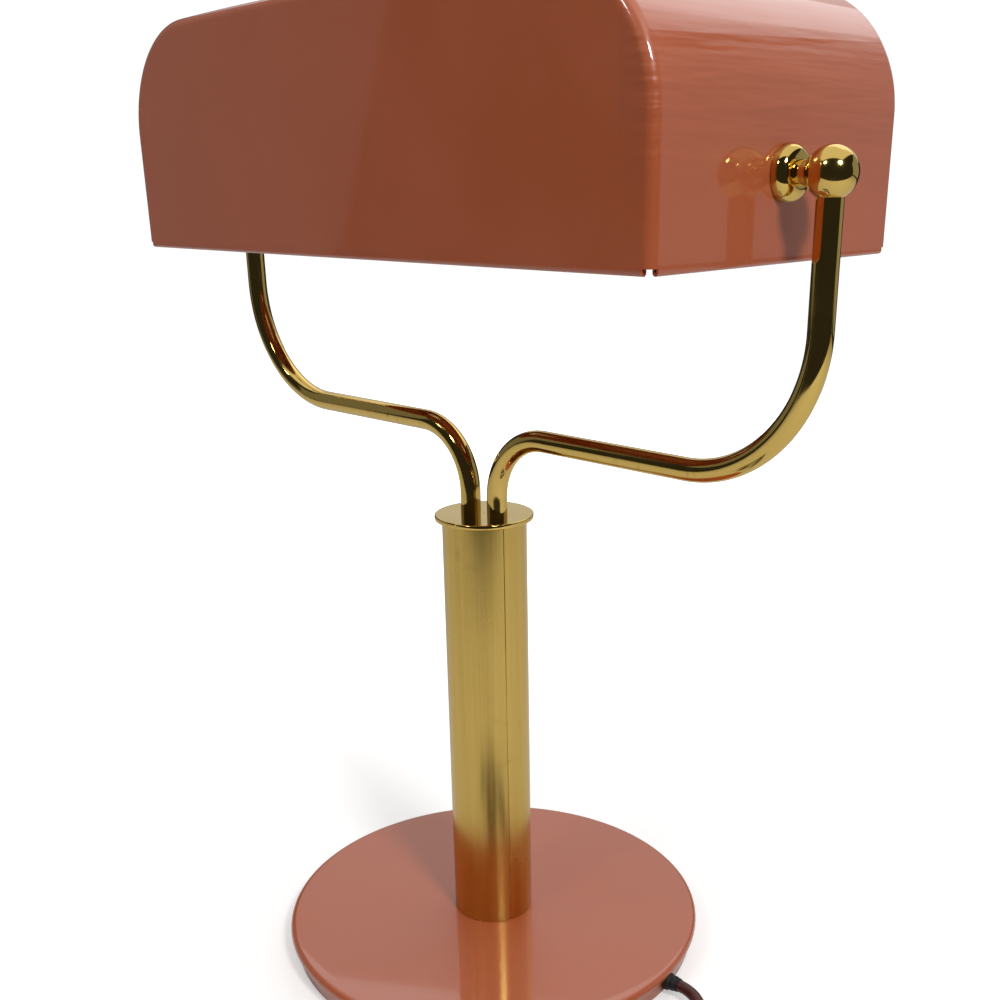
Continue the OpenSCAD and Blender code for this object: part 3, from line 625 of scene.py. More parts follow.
ball_profile = [(-FLAT_AT, BORE_R), (-FLAT_AT, SPINDLE_R + BORE_LIP)]
first = math.acos(-FLAT_AT / BALL_R)
for k in range(BALL_STEPS + 1):
    a = first * (1 - k / BALL_STEPS)
    ball_profile.append((BALL_R * math.cos(a), max(BALL_R * math.sin(a), ON_AXIS)))
ball_profile += [(BORE_END, ON_AXIS), (BORE_END, BORE_R)]

rosette_profile = [(SHADE_END, SPINDLE_R), (SHADE_END, ROSETTE_R - ROSETTE_EDGE),
                   (SHADE_END + ROSETTE_EDGE, ROSETTE_R)]
dome_l = ROSETTE_TIP - ROSETTE_NECK - SHADE_END - ROSETTE_RIM
for k in range(DOME_STEPS + 1):
    a = math.pi / 2 * k / DOME_STEPS
    rosette_profile.append((SHADE_END + ROSETTE_RIM + dome_l * math.sin(a),
                            NECK_R + (ROSETTE_R - NECK_R) * math.cos(a)))
rosette_profile += [(ROSETTE_TIP, NECK_R), (ROSETTE_TIP, SPINDLE_R)]

for side, name in ((1, "right"), (-1, "left")):
    turned = [(side * x, r) for x, r in ball_profile]
    ball = lathe("ball_end_" + name, turned, turns=96, place=(side * BALL_X, 0, PIVOT_Z), axis="X")
    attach(ball, "stand")
    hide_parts("ball_" + name)
    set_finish(ball, "polished_brass")
    turned = [(side * x, r) for x, r in rosette_profile]
    rosette = lathe("rosette_dome_" + name, turned, turns=96, place=(0, 0, PIVOT_Z), axis="X")
    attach(rosette, "shade")
    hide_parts("rosette_" + name)
    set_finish(rosette, "polished_brass")
print("balls:", round(2 * BALL_R, 4), "m; rosettes:", round(2 * ROSETTE_R, 4), "m")

# %% [markdown]
# The switch lies on the cord a few centimetres from the base. Its two moulded halves meet at a
# fine parting line, and the rocker sits in a window in the upper one. Blocks with rounded upper and
# lower edges look moulded, and a boolean cut opens the window and the wells of the screws.

# %% The switch's frame and its blocks
SWITCH_PLACE = (Matrix.Translation(Vector((*run_route[-1][:2], 0)) * MM)
                @ Matrix.Rotation(SWITCH_HEADING, 4, "Z")
                @ Matrix.Translation(Vector((SWITCH_L / 2, 0, 0)) * MM))
SWITCH_W = 25.0
SWITCH_H = 15.0
SPLIT_Z = 7.0
CASE_CORNER = 6.0
PARTING_HALF, PARTING_ROUND = 0.1, 0.35
CASE_FOOT_ROUND, CASE_TOP_ROUND = 1.6, 2.2
WINDOW_L, WINDOW_W, WINDOW_CORNER, WINDOW_FLOOR = 21, 9.6, 0.6, 8.2
WELL_D, WELL_CORNER, WELL_DEEP = 5.4, 2.69, 2
CUT_TOP, CUT_ROUND = 20, 0.1
SCREW_AT = ((20, 7), (-20, -7))


def rounded_plan(length, width, corner, steps=8):
    """A rectangle's outline with round corners, as (x, y)."""
    outline = []
    for quarter, (sx, sy) in enumerate(((1, 1), (-1, 1), (-1, -1), (1, -1))):
        for k in range(steps + 1):
            a = math.pi / 2 * (quarter + k / steps)
            outline.append((sx * (length / 2 - corner) + corner * math.cos(a),
                            sy * (width / 2 - corner) + corner * math.sin(a)))
    return outline


def moulded(name, outline, low, high, top_round, foot_round, place, steps=4):
    """A block over an outline in millimetres, its upper and lower edges rounded inward."""
    count = len(outline)
    normals = []
    for i in range(count):
        (ax, ay), (bx, by) = outline[i - 1], outline[(i + 1) % count]
        normals.append(Vector((by - ay, ax - bx)).normalized())
    layers = [(low + foot_round * (1 - math.cos(a)), foot_round * (1 - math.sin(a)))
              for a in [math.pi / 2 * k / steps for k in range(steps + 1)]]
    layers += [(high - top_round * (1 - math.sin(a)), top_round * (1 - math.cos(a)))
               for a in [math.pi / 2 * k / steps for k in range(steps + 1)]]
    points = [Vector((x - n.x * inset, y - n.y * inset, z)) * MM
              for z, inset in layers for (x, y), n in zip(outline, normals)]
    faces = rows_to_faces(len(layers), count)
    faces.append(tuple(reversed(range(count))))
    faces.append(tuple((len(layers) - 1) * count + k for k in range(count)))
    piece = mesh_piece(name, points, faces)
    piece.data.transform(place)
    return piece


def cut(piece, cutters):
    """Takes the cutters' shapes out of a piece, and then the cutters out of the scene."""
    for cutter in cutters:
        hole = piece.modifiers.new("cut", "BOOLEAN")
        hole.operation = "DIFFERENCE"
        hole.object = cutter
        hole.solver = "EXACT"
    apply_modifiers(piece)
    for cutter in cutters:
        bpy.data.objects.remove(cutter)
    smooth_piece(piece)


case_outline = rounded_plan(SWITCH_L, SWITCH_W, CASE_CORNER)
lower = moulded("switch_base", case_outline, 0, SPLIT_Z - PARTING_HALF, PARTING_ROUND,
                CASE_FOOT_ROUND, SWITCH_PLACE)
upper = moulded("switch_cover", case_outline, SPLIT_Z + PARTING_HALF, SWITCH_H, CASE_TOP_ROUND,
                PARTING_ROUND, SWITCH_PLACE)
window = rounded_plan(WINDOW_L, WINDOW_W, WINDOW_CORNER)
cutters = [moulded("window", window, WINDOW_FLOOR, CUT_TOP, CUT_ROUND, CUT_ROUND, SWITCH_PLACE)]
for x, y in SCREW_AT:
    well = [(x + px, y + py) for px, py in rounded_plan(WELL_D, WELL_D, WELL_CORNER)]
    cutters.append(moulded("well", well, SWITCH_H - WELL_DEEP, CUT_TOP, CUT_ROUND, CUT_ROUND, SWITCH_PLACE))
cut(upper, cutters)
for piece, node in ((lower, "switch_lower"), (upper, "switch_upper")):
    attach(piece, "stand")
    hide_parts(node)
    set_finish(piece, "bakelite")
print("switch case:", len(upper.data.polygons), "faces in the cover")

# %% [markdown]
# The rocker's top is dished for a fingertip and has fine ridges across both ends. It is drawn at
# rest with its far end down, and rides on its own body so that it can tip.

# %% The rocker
ROCKER_L = 19.0
ROCKER_W = 9.0
ROCKER_Z = 10.0
ROCKER_TILT = math.radians(6)
ROCKER_TOP, ROCKER_FOOT = 5.6, -1.5
DISH_H, DISH_POWER = 1.2, 1.6
END_DROP, END_FROM, END_SHARE = 0.5, 0.95, 0.05
SIDE_FALL, SIDE_FROM, SIDE_SHARE = 0.7, 0.85, 0.15
RIDGE_H, RIDGE_PITCH, RIDGES_FROM, RIDGES_TO, RIDGE_REACH = 0.22, 1.3, 0.5, 0.86, 0.9
ROCKER_COLUMNS = 40
rocker_points = []
rocker_across = (-1.0, -0.96, -0.85, 0, 0.85, 0.96, 1.0)
for i in range(ROCKER_COLUMNS + 1):
    x = (i / ROCKER_COLUMNS - 0.5) * ROCKER_L
    share = abs(2 * x / ROCKER_L)
    end_drop = END_DROP * (share - END_FROM) / END_SHARE if share > END_FROM else 0
    top = ROCKER_TOP + DISH_H * share ** DISH_POWER - end_drop
    ridge = RIDGE_H * math.cos(2 * math.pi * x / RIDGE_PITCH) if RIDGES_FROM < share < RIDGES_TO else 0
    for w in rocker_across:
        drop = SIDE_FALL * max(abs(w) - SIDE_FROM, 0) / SIDE_SHARE
        rocker_points.append(Vector((x, w * ROCKER_W / 2, top + ridge * (abs(w) < RIDGE_REACH) - drop)))
    rocker_points += [Vector((x, side * ROCKER_W / 2, ROCKER_FOOT)) for side in (1, -1)]
rocker_columns = len(rocker_across) + 2
rocker_faces = rows_to_faces(ROCKER_COLUMNS + 1, rocker_columns)
rocker_faces.append(tuple(reversed(range(rocker_columns))))
rocker_faces.append(tuple(ROCKER_COLUMNS * rocker_columns + k for k in range(rocker_columns)))
rocker = mesh_piece("rocker_key", [p * MM for p in rocker_points], rocker_faces)
rocker.data.transform(SWITCH_PLACE @ Matrix.Translation((0, 0, ROCKER_Z * MM))
                      @ Matrix.Rotation(ROCKER_TILT, 4, "Y"))
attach(rocker, "rocker")
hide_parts("switch_rocker")
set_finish(rocker, "rocker_plastic")
print("rocker:", len(rocker.data.polygons), "faces")

# %% [markdown]
# The screws are slotted. A boolean could cut the slots, but a disc with two half discs standing on
# it leaves the same slot between them and is only plain blocks.

# %% The switch's screws
HEAD_R = 2.5
HEAD_TOP = SWITCH_H - 0.5
HEAD_FOOT = SWITCH_H - 4
HEAD_ROUND = 0.25
HIDDEN_ROUND = 0.05
HALF_FOOT_ROUND, HALF_SUNK = 0.02, 0.1
SLOT_HALF = 0.35
SLOT_FLOOR = SWITCH_H - 1.2
SLOT_TURNS = (math.radians(20), math.radians(70))
HALF_STEPS = 8


def half_disc(x, y, toward):
    """The part of a screw's face on one side of its slot, as (x, y)."""
    reach = math.acos(SLOT_HALF / HEAD_R)
    turns = [toward + reach * (k / HALF_STEPS - 1) for k in range(2 * HALF_STEPS + 1)]
    return [(x + HEAD_R * math.cos(a), y + HEAD_R * math.sin(a)) for a in turns]


work = bmesh.new()
for (x, y), toward in zip(SCREW_AT, SLOT_TURNS):
    disc = [(x + px, y + py) for px, py in rounded_plan(2 * HEAD_R, 2 * HEAD_R, HEAD_R - 0.01)]
    blocks = [moulded("disc", disc, HEAD_FOOT, SLOT_FLOOR, HIDDEN_ROUND, HIDDEN_ROUND, SWITCH_PLACE)]
    for half in (toward, toward + math.pi):
        blocks.append(moulded("half", half_disc(x, y, half), SLOT_FLOOR - HALF_SUNK, HEAD_TOP, HEAD_ROUND,
                              HALF_FOOT_ROUND, SWITCH_PLACE))
    for block in blocks:
        work.from_mesh(block.data)
        bpy.data.objects.remove(block)
screws = mesh_piece("case_screws", [], [])
work.to_mesh(screws.data)
work.free()
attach(screws, "stand")
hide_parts("switch_screws")
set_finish(screws, "zinc_steel")
print("case screws:", len(screws.data.polygons), "faces")

# %% [markdown]
# A rubber strap goes once round the coil and holds its turns together. It is a band of one
# thickness, so its inner outline is the outer one, made smaller.

# %% The coil's strap
STRAP_W = 8.0
STRAP_T = 1.0
STRAP_CORNER = 3.2
STRAP_ANGLE = math.radians(170)
CORD_HALF = CORD_D / MM / 2
strap_turn = Matrix.Translation(Vector((*COIL_CENTRE, 0)) * MM) @ Matrix.Rotation(STRAP_ANGLE, 4, "Z")
strap_low = COIL_INNER_R - CORD_HALF - STRAP_T
strap_high = COIL_OUTER_R + CORD_HALF + STRAP_T
strap_top = COIL_HIGH_Z + CORD_HALF + STRAP_T
strap_l = strap_high - strap_low
strap_points = []
strap_outline = rounded_plan(strap_l, strap_top, STRAP_CORNER)
middle = (strap_low + strap_high) / 2
for layer, y in ((0, -STRAP_W / 2), (0, STRAP_W / 2), (1, STRAP_W / 2), (1, -STRAP_W / 2)):
    across, upward = 1 - 2 * STRAP_T * layer / strap_l, 1 - 2 * STRAP_T * layer / strap_top
    for px, pz in strap_outline:
        strap_points.append(Vector((middle + px * across, y, strap_top / 2 + pz * upward)) * MM)
strap = mesh_piece("coil_strap", strap_points, rows_to_faces(4, len(strap_outline), closed_rows=True))
strap.data.transform(strap_turn)
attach(strap, "stand")
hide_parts("coil_tie")
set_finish(strap, "black_rubber")
print("strap:", len(strap.data.polygons), "faces")

# %% [markdown]
# The plug is moulded on the cord. Its grip is lofted from rounded sections that swell from the
# sleeve to the flat face, with shallow ridges across the sides for the fingers.

# %% The plug
PLUG_L = 38.0
PLUG_W = 34.0
PLUG_H = 13.5
PLUG_SECTIONS = 60
SECTION_SIDES = 48
SQUARENESS = 0.62
NECK_HALF_W, NECK_HALF_H = 5.4, 5.0
SWELL_FROM, SWELL_L, RISE_L = 3, 21, 12
GRIP_FROM, GRIP_TO, GRIP_PITCH, GRIP_DEEP = 21, 33, 2.6, 0.4
NOSE_L, NOSE_IN_W, NOSE_IN_H = 2.5, 2.0, 1.6
plug_start = Vector((*tail_route[-1][:2], PLUG_H / 2)) * MM
plug_place = Matrix.Translation(plug_start) @ Matrix.Rotation(math.pi, 4, "Z")


def nose_in(x, inset):
    """How far the plug's face is drawn in, over its last few millimetres."""
    return inset * max(x - PLUG_L + NOSE_L, 0) ** 2 / NOSE_L ** 2


def plug_half_width(x):
    swell = min(max((x - SWELL_FROM) / SWELL_L, 0), 1)
    swell = swell * swell * (3 - 2 * swell)
    ridge = GRIP_DEEP * math.cos(2 * math.pi * x / GRIP_PITCH) if GRIP_FROM < x < GRIP_TO else 0
    return NECK_HALF_W + (PLUG_W / 2 - GRIP_DEEP - NECK_HALF_W) * swell + ridge - nose_in(x, NOSE_IN_W)


def plug_half_height(x):
    swell = min(max(x / RISE_L, 0), 1)
    return NECK_HALF_H + (PLUG_H / 2 - NECK_HALF_H) * swell * (2 - swell) - nose_in(x, NOSE_IN_H)


plug_points = []
for i in range(PLUG_SECTIONS + 1):
    x = PLUG_L * i / PLUG_SECTIONS
    for k in range(SECTION_SIDES):
        a = 2 * math.pi * k / SECTION_SIDES
        c, s = math.cos(a), math.sin(a)
        plug_points.append(Vector((x, plug_half_width(x) * math.copysign(abs(c) ** SQUARENESS, c),
                                   plug_half_height(x) * math.copysign(abs(s) ** SQUARENESS, s))) * MM)
plug_faces = rows_to_faces(PLUG_SECTIONS + 1, SECTION_SIDES)
plug_faces.append(tuple(reversed(range(SECTION_SIDES))))
plug_faces.append(tuple(PLUG_SECTIONS * SECTION_SIDES + k for k in range(SECTION_SIDES)))
plug = mesh_piece("plug_grip", plug_points, plug_faces)
plug.data.transform(plug_place)
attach(plug, "stand")
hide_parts("plug_body")
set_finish(plug, "bakelite")
print("plug:", len(plug.data.polygons), "faces")

# %% [markdown]
# Where the cord enters the plug a ribbed sleeve keeps it from kinking. It follows the last stretch
# of the cord's own path and thickens toward the plug.

# %% The plug's sleeve
SLEEVE_POINTS = 15
SLEEVE_ROOT_R = 0.005
SLEEVE_WALL = 0.0003
SLEEVE_RIBS = 5
SLEEVE_RIB_H = 0.00025


def sleeve_radius(share):
    rib = SLEEVE_RIB_H * math.cos(2 * math.pi * SLEEVE_RIBS * share)
    return CORD_D / 2 + SLEEVE_WALL + (SLEEVE_ROOT_R - CORD_D / 2 - SLEEVE_WALL) * share + rib


plug_sleeve = sweep("plug_sleeve", far_path[-SLEEVE_POINTS:], sleeve_radius, sides=28)
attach(plug_sleeve, "stand")
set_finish(plug_sleeve, "bakelite")
print("plug's sleeve:", len(plug_sleeve.data.polygons), "faces")

# %% [markdown]

# %% [markdown]
# Finishes share a few effects: the slight orange peel of stove enamel, the waviness of the bent
# sheet under it, the faint unevenness that handling leaves on a gloss, the fine lines of drawn
# metal, and specks of tarnish. Each is a node group with named inputs and outputs, built once. The
# shader itself always stays in the material.

# %% A small node toolkit
def new_group(name, inputs, outputs):
    """A shader node group; inputs are (name, default value), outputs are names."""
    group = bpy.data.node_groups.new(name, "ShaderNodeTree")
    group.interface.new_socket("Vector", in_out="INPUT", socket_type="NodeSocketVector")
    for label, value in inputs:
        socket = group.interface.new_socket(label, in_out="INPUT", socket_type="NodeSocketFloat")
        socket.default_value = value
    for label in outputs:
        group.interface.new_socket(label, in_out="OUTPUT", socket_type="NodeSocketFloat")
    return group, group.nodes.new("NodeGroupInput"), group.nodes.new("NodeGroupOutput")


def math_node(tree, operation, a, b):
    """A Math node; a and b are sockets or numbers. Returns its output."""
    made = tree.nodes.new("ShaderNodeMath")
    made.operation = operation
    for socket, value in zip(made.inputs, (a, b)):
        if isinstance(value, (int, float)):
            socket.default_value = value
        else:
            tree.links.new(value, socket)
    return made.outputs[0]


def noise_node(tree, vector, scale, detail, stretch=None):
    """A Noise Texture's factor over a vector that may be stretched along one axis."""
    if stretch is not None:
        mapping = tree.nodes.new("ShaderNodeMapping")
        mapping.inputs["Scale"].default_value = stretch
        tree.links.new(vector, mapping.inputs["Vector"])
        vector = mapping.outputs[0]
    noise = tree.nodes.new("ShaderNodeTexNoise")
    noise.inputs["Detail"].default_value = detail
    tree.links.new(vector, noise.inputs["Vector"])
    if isinstance(scale, (int, float)):
        noise.inputs["Scale"].default_value = scale
    else:
        tree.links.new(scale, noise.inputs["Scale"])
    return noise.outputs[0]


def ranged(tree, value, low, high, to_low=0.0, to_high=1.0):
    """A Map Range node from low..high to to_low..to_high; any end may be a socket."""
    made = tree.nodes.new("ShaderNodeMapRange")
    for label, end in (("Value", value), ("From Min", low), ("From Max", high),
                       ("To Min", to_low), ("To Max", to_high)):
        if isinstance(end, (int, float)):
            made.inputs[label].default_value = end
        else:
            tree.links.new(end, made.inputs[label])
    return made.outputs[0]


# orange peel: broad waves from the sheet under a fine dimple from the spray
peel, peel_in, peel_out = new_group("enamel_peel", [("Wave Scale", 30.0), ("Dimple Scale", 900.0),
                                                    ("Dimple Share", 0.12)], ["Height"])
wave = noise_node(peel, peel_in.outputs["Vector"], peel_in.outputs["Wave Scale"], 1.0)
dimple = noise_node(peel, peel_in.outputs["Vector"], peel_in.outputs["Dimple Scale"], 2.0)
peel.links.new(math_node(peel, "ADD", wave, math_node(peel, "MULTIPLY", dimple,
                                                      peel_in.outputs["Dimple Share"])),
               peel_out.inputs["Height"])

# ripples: the sheet's end walls are slightly wavy above the pivots, where it was bent
RIPPLED_X = (0.150, 0.163)
RIPPLED_Z = (0.385, 0.425)
RIPPLE_STRETCH = (1, 0.7, 7.0)
ripples, ripples_in, ripples_out = new_group("sheet_ripples", [("Scale", 14.0), ("Amount", 1.0)],
                                             ["Height"])
apart = ripples.nodes.new("ShaderNodeSeparateXYZ")
ripples.links.new(ripples_in.outputs["Vector"], apart.inputs[0])
outward = math_node(ripples, "ABSOLUTE", apart.outputs["X"], 0)
out_on_wall = ranged(ripples, outward, *RIPPLED_X)
above_pivot = ranged(ripples, apart.outputs["Z"], *RIPPLED_Z)
waviness = noise_node(ripples, ripples_in.outputs["Vector"], ripples_in.outputs["Scale"], 2.5,
                      RIPPLE_STRETCH)
height = math_node(ripples, "MULTIPLY", waviness, above_pivot)
height = math_node(ripples, "MULTIPLY", height, out_on_wall)
ripples.links.new(math_node(ripples, "MULTIPLY", height, ripples_in.outputs["Amount"]),
                  ripples_out.inputs["Height"])

# handling: soft blotches that move roughness between a clean and a touched value
touch, touch_in, touch_out = new_group("handled_gloss", [("Scale", 25.0), ("Clean", 0.1),
                                                         ("Touched", 0.25)], ["Roughness", "Mask"])
blotch = ranged(touch, noise_node(touch, touch_in.outputs["Vector"], touch_in.outputs["Scale"], 5.0),
                0.42, 0.68)
touch.links.new(blotch, touch_out.inputs["Mask"])
touch.links.new(ranged(touch, blotch, 0.0, 1.0, touch_in.outputs["Clean"], touch_in.outputs["Touched"]),
                touch_out.inputs["Roughness"])

# drawn lines: noise stretched along Z, as dies leave on a tube
DRAWN_STRETCH = (1, 1, 0.008)
drawn, drawn_in, drawn_out = new_group("drawn_lines", [("Scale", 900.0)], ["Lines"])
drawn.links.new(noise_node(drawn, drawn_in.outputs["Vector"], drawn_in.outputs["Scale"], 3.0,
                           DRAWN_STRETCH), drawn_out.inputs["Lines"])

# tarnish: sparse specks where two noises are both high
specks, specks_in, specks_out = new_group("tarnish_specks", [("Scale", 160.0), ("Amount", 0.5)], ["Mask"])
patch = ranged(specks, noise_node(specks, specks_in.outputs["Vector"], 22.0, 2.0), 0.5, 0.66)
speck = ranged(specks, noise_node(specks, specks_in.outputs["Vector"], specks_in.outputs["Scale"], 4.0),
               0.58, 0.74)
specks.links.new(math_node(specks, "MULTIPLY", math_node(specks, "MULTIPLY", patch, speck),
                           specks_in.outputs["Amount"]), specks_out.inputs["Mask"])
print("node groups:", [g.name for g in bpy.data.node_groups])

# %% [markdown]
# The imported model's plain colours make room for finishes. Most of those are one idea: a colour and
# a roughness that go from clean to touched together, under one mask. So that idea is a helper.

# %% Material tools
plain_count = len(bpy.data.materials)
for plain in list(bpy.data.materials):
    bpy.data.materials.remove(plain)


def new_material(name, **sockets):
    """A material with its Principled BSDF, plain values set on the shader's own sockets."""
    material = bpy.data.materials.new(name)
    material.use_nodes = True
    shader = material.node_tree.nodes["Principled BSDF"]
    for label, value in sockets.items():
        shader.inputs[label.replace("_", " ")].default_value = value
    place = material.node_tree.nodes.new("ShaderNodeTexCoord").outputs["Object"]
    return material, material.node_tree, shader, place


def use_group(tree, group, place, **values):
    """A group node in a material, fed with the object's coordinates and its own values."""
    made = tree.nodes.new("ShaderNodeGroup")
    made.node_tree = group
    tree.links.new(place, made.inputs["Vector"])
    for label, value in values.items():
        made.inputs[label.replace("_", " ")].default_value = value
    return made.outputs


def mixed(tree, mask, first_colour, second_colour):
    """A colour that goes from the first to the second as the mask goes from 0 to 1."""
    mix = tree.nodes.new("ShaderNodeMix")
    mix.data_type = "RGBA"
    tree.links.new(mask, mix.inputs["Factor"])
    for socket, value in ((mix.inputs[6], first_colour), (mix.inputs[7], second_colour)):
        if isinstance(value, tuple):
            socket.default_value = (*value, 1)
        else:
            tree.links.new(value, socket)
    return mix.outputs[2]


def bumped(tree, shader, height, strength, distance):
    bump = tree.nodes.new("ShaderNodeBump")
    bump.inputs["Strength"].default_value = strength
    bump.inputs["Distance"].default_value = distance
    tree.links.new(height, bump.inputs["Height"])
    tree.links.new(bump.outputs[0], shader.inputs["Normal"])


def handled(tree, shader, place, clean_colour, touched_colour, **values):
    """Colour and roughness that go from clean to touched together, over the whole surface."""
    worn = use_group(tree, touch, place, **values)
    tree.links.new(mixed(tree, worn["Mask"], clean_colour, touched_colour), shader.inputs["Base Color"])
    tree.links.new(worn["Roughness"], shader.inputs["Roughness"])


print("plain materials taken away:", plain_count)

# %% [markdown]
# Stove enamel: a brownish coral under a deep gloss. The gloss is a coat, because the colour
# beneath is matter than the surface.

# %% Enamel
enamel, tree, shader, place = new_material("enamel", Coat_Weight=1.0, Coat_Roughness=0.045,
                                           Coat_IOR=1.5)
handled(tree, shader, place, (0.46, 0.101, 0.033), (0.48, 0.108, 0.038),
        Scale=18.0, Clean=0.36, Touched=0.46)
waves = use_group(tree, peel, place, Wave_Scale=26.0, Dimple_Scale=1100.0, Dimple_Share=0.06)
bent = use_group(tree, ripples, place, Scale=20.0, Amount=16.0)
bumped(tree, shader, math_node(tree, "ADD", waves["Height"], bent["Height"]), 0.25, 0.0006)
print("enamel done")

# %% [markdown]
# Brass is kept in two states. The stem is satin, with fine drawn lines along it; arms, balls,
# rosettes and collar are polished. Both have a few specks where the lacquer has let air in.

# %% Brass
BRASS = (0.68, 0.475, 0.13)
BRASS_LINE = (0.63, 0.43, 0.115)
BRASS_DARK = (0.30, 0.19, 0.06)
satin_brass, tree, shader, place = new_material("satin_brass", Metallic=1.0)
lines = use_group(tree, drawn, place, Scale=700.0)
stain = use_group(tree, specks, place, Scale=140.0, Amount=0.35)
worn = use_group(tree, touch, place, Scale=12.0, Clean=0.22, Touched=0.32)
streaked = mixed(tree, ranged(tree, lines["Lines"], 0.35, 0.65), BRASS_LINE, BRASS)
tree.links.new(mixed(tree, stain["Mask"], streaked, BRASS_DARK), shader.inputs["Base Color"])
tree.links.new(worn["Roughness"], shader.inputs["Roughness"])
bumped(tree, shader, lines["Lines"], 0.12, 0.00005)

polished_brass, tree, shader, place = new_material("polished_brass", Metallic=1.0)
stain = use_group(tree, specks, place, Scale=260.0, Amount=0.8)
worn = use_group(tree, touch, place, Scale=45.0, Clean=0.06, Touched=0.15)
tree.links.new(mixed(tree, stain["Mask"], BRASS, BRASS_DARK), shader.inputs["Base Color"])
tree.links.new(worn["Roughness"], shader.inputs["Roughness"])
print("brass done")

# %% [markdown]
# The hidden metal is zinc-plated steel and a rough iron casting, and the plug's pins are nickel.

# %% Steel, iron and pins
zinc_steel, tree, shader, place = new_material("zinc_steel", Metallic=1.0)
handled(tree, shader, place, (0.60, 0.60, 0.60), (0.44, 0.45, 0.47),
        Scale=150.0, Clean=0.28, Touched=0.5)

cast_iron, tree, shader, place = new_material("cast_iron", Metallic=0.3)
sand = use_group(tree, peel, place, Wave_Scale=400.0, Dimple_Scale=1500.0, Dimple_Share=0.8)
handled(tree, shader, place, (0.022, 0.022, 0.024), (0.05, 0.045, 0.04),
        Scale=60.0, Clean=0.6, Touched=0.8)
bumped(tree, shader, sand["Height"], 0.6, 0.0004)

pin_metal, tree, shader, place = new_material("pin_metal", Metallic=1.0)
handled(tree, shader, place, (0.72, 0.70, 0.66), (0.52, 0.50, 0.46),
        Scale=200.0, Clean=0.14, Touched=0.32)
print("steel, iron and pins done")

# %% [markdown]
# Felt scatters light from its fibres, so it gets sheen and a fine two-scale fuzz. Rubber is matt
# with a bloom; the cord's sheath is a smooth dark oxblood plastic that takes a soft highlight.

# %% Felt, rubber and sheath
felt, tree, shader, place = new_material("felt", Roughness=0.95, Sheen_Weight=0.6, Sheen_Roughness=0.5)
fuzz = use_group(tree, peel, place, Wave_Scale=900.0, Dimple_Scale=3000.0, Dimple_Share=0.7)
tufts = mixed(tree, fuzz["Height"], (0.012, 0.010, 0.010), (0.035, 0.028, 0.026))
tree.links.new(tufts, shader.inputs["Base Color"])
bumped(tree, shader, fuzz["Height"], 0.8, 0.0006)

black_rubber, tree, shader, place = new_material("black_rubber", Specular_IOR_Level=0.4)
handled(tree, shader, place, (0.005, 0.0045, 0.0045), (0.011, 0.010, 0.0095),
        Scale=120.0, Clean=0.5, Touched=0.68)

cord_sheath, tree, shader, place = new_material("cord_sheath", Specular_IOR_Level=0.5)
handled(tree, shader, place, (0.060, 0.008, 0.008), (0.082, 0.014, 0.012),
        Scale=90.0, Clean=0.30, Touched=0.45)
skin = use_group(tree, peel, place, Wave_Scale=500.0, Dimple_Scale=2500.0, Dimple_Share=0.3)
bumped(tree, shader, skin["Height"], 0.2, 0.0002)
print("felt, rubber and sheath done")

# %% [markdown]
# Moulded phenolic is nearly black with a brown cast and a gloss that years have dulled in places.

# %% Mouldings
bakelite, tree, shader, place = new_material("bakelite", Specular_IOR_Level=0.55)
handled(tree, shader, place, (0.014, 0.009, 0.008), (0.026, 0.017, 0.014),
        Scale=70.0, Clean=0.20, Touched=0.36)
skin = use_group(tree, peel, place, Wave_Scale=120.0, Dimple_Scale=2400.0, Dimple_Share=0.25)
bumped(tree, shader, skin["Height"], 0.2, 0.0002)

rocker_plastic, tree, shader, place = new_material("rocker_plastic", Specular_IOR_Level=0.5)
handled(tree, shader, place, (0.085, 0.012, 0.010), (0.11, 0.02, 0.016),
        Scale=160.0, Clean=0.24, Touched=0.42)

white_plastic, tree, shader, place = new_material("white_plastic", Subsurface_Weight=0.2,
                                                  Subsurface_Scale=0.004)
handled(tree, shader, place, (0.74, 0.72, 0.66), (0.66, 0.63, 0.56),
        Scale=80.0, Clean=0.35, Touched=0.5)
print("mouldings done")

# %% [markdown]
# The bulbs are opal glass: a white coat inside clear glass, so the colour is soft and the outer
# surface is a clean gloss with faint dust.

# %% Opal glass
bulb_glass, tree, shader, place = new_material("bulb_glass", Coat_Weight=1.0, Coat_Roughness=0.02,
                                               Subsurface_Weight=0.4, Subsurface_Scale=0.006)
handled(tree, shader, place, (0.86, 0.85, 0.82), (0.80, 0.79, 0.75),
        Scale=60.0, Clean=0.22, Touched=0.34)
print("opal glass done")

# %% [markdown]
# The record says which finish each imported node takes, and each rebuilt piece names its own, so
# one loop paints everything.

# %% Paint every piece
FINISHES = {m.name: m for m in (enamel, satin_brass, polished_brass, zinc_steel, cast_iron, pin_metal,
                                felt, black_rubber, cord_sheath, bakelite, rocker_plastic,
                                white_plastic, bulb_glass)}
node_finish = {part["node"]: part["material_slot"] for part in frame["record"]["subparts"]}


def paint(piece, finish):
    piece.data.materials.clear()
    piece.data.materials.append(FINISHES[finish])


for name, node in NODES.items():
    paint(node, node_finish[name])
painted = 0
for piece in bpy.data.objects:
    if piece.type == "MESH" and "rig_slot" in piece:
        paint(piece, piece["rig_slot"])
        painted += 1
print("painted:", len(NODES), "nodes and", painted, "rebuilt pieces")

# %% [markdown]
# The lamp stands on a white table top that ends a little way in front of it. Seen directly the top
# glows, more strongly further out, so that it runs into the white background. The lamp mirrors
# its paint and only a dim even glow, because the strong one is for the camera's rays alone.

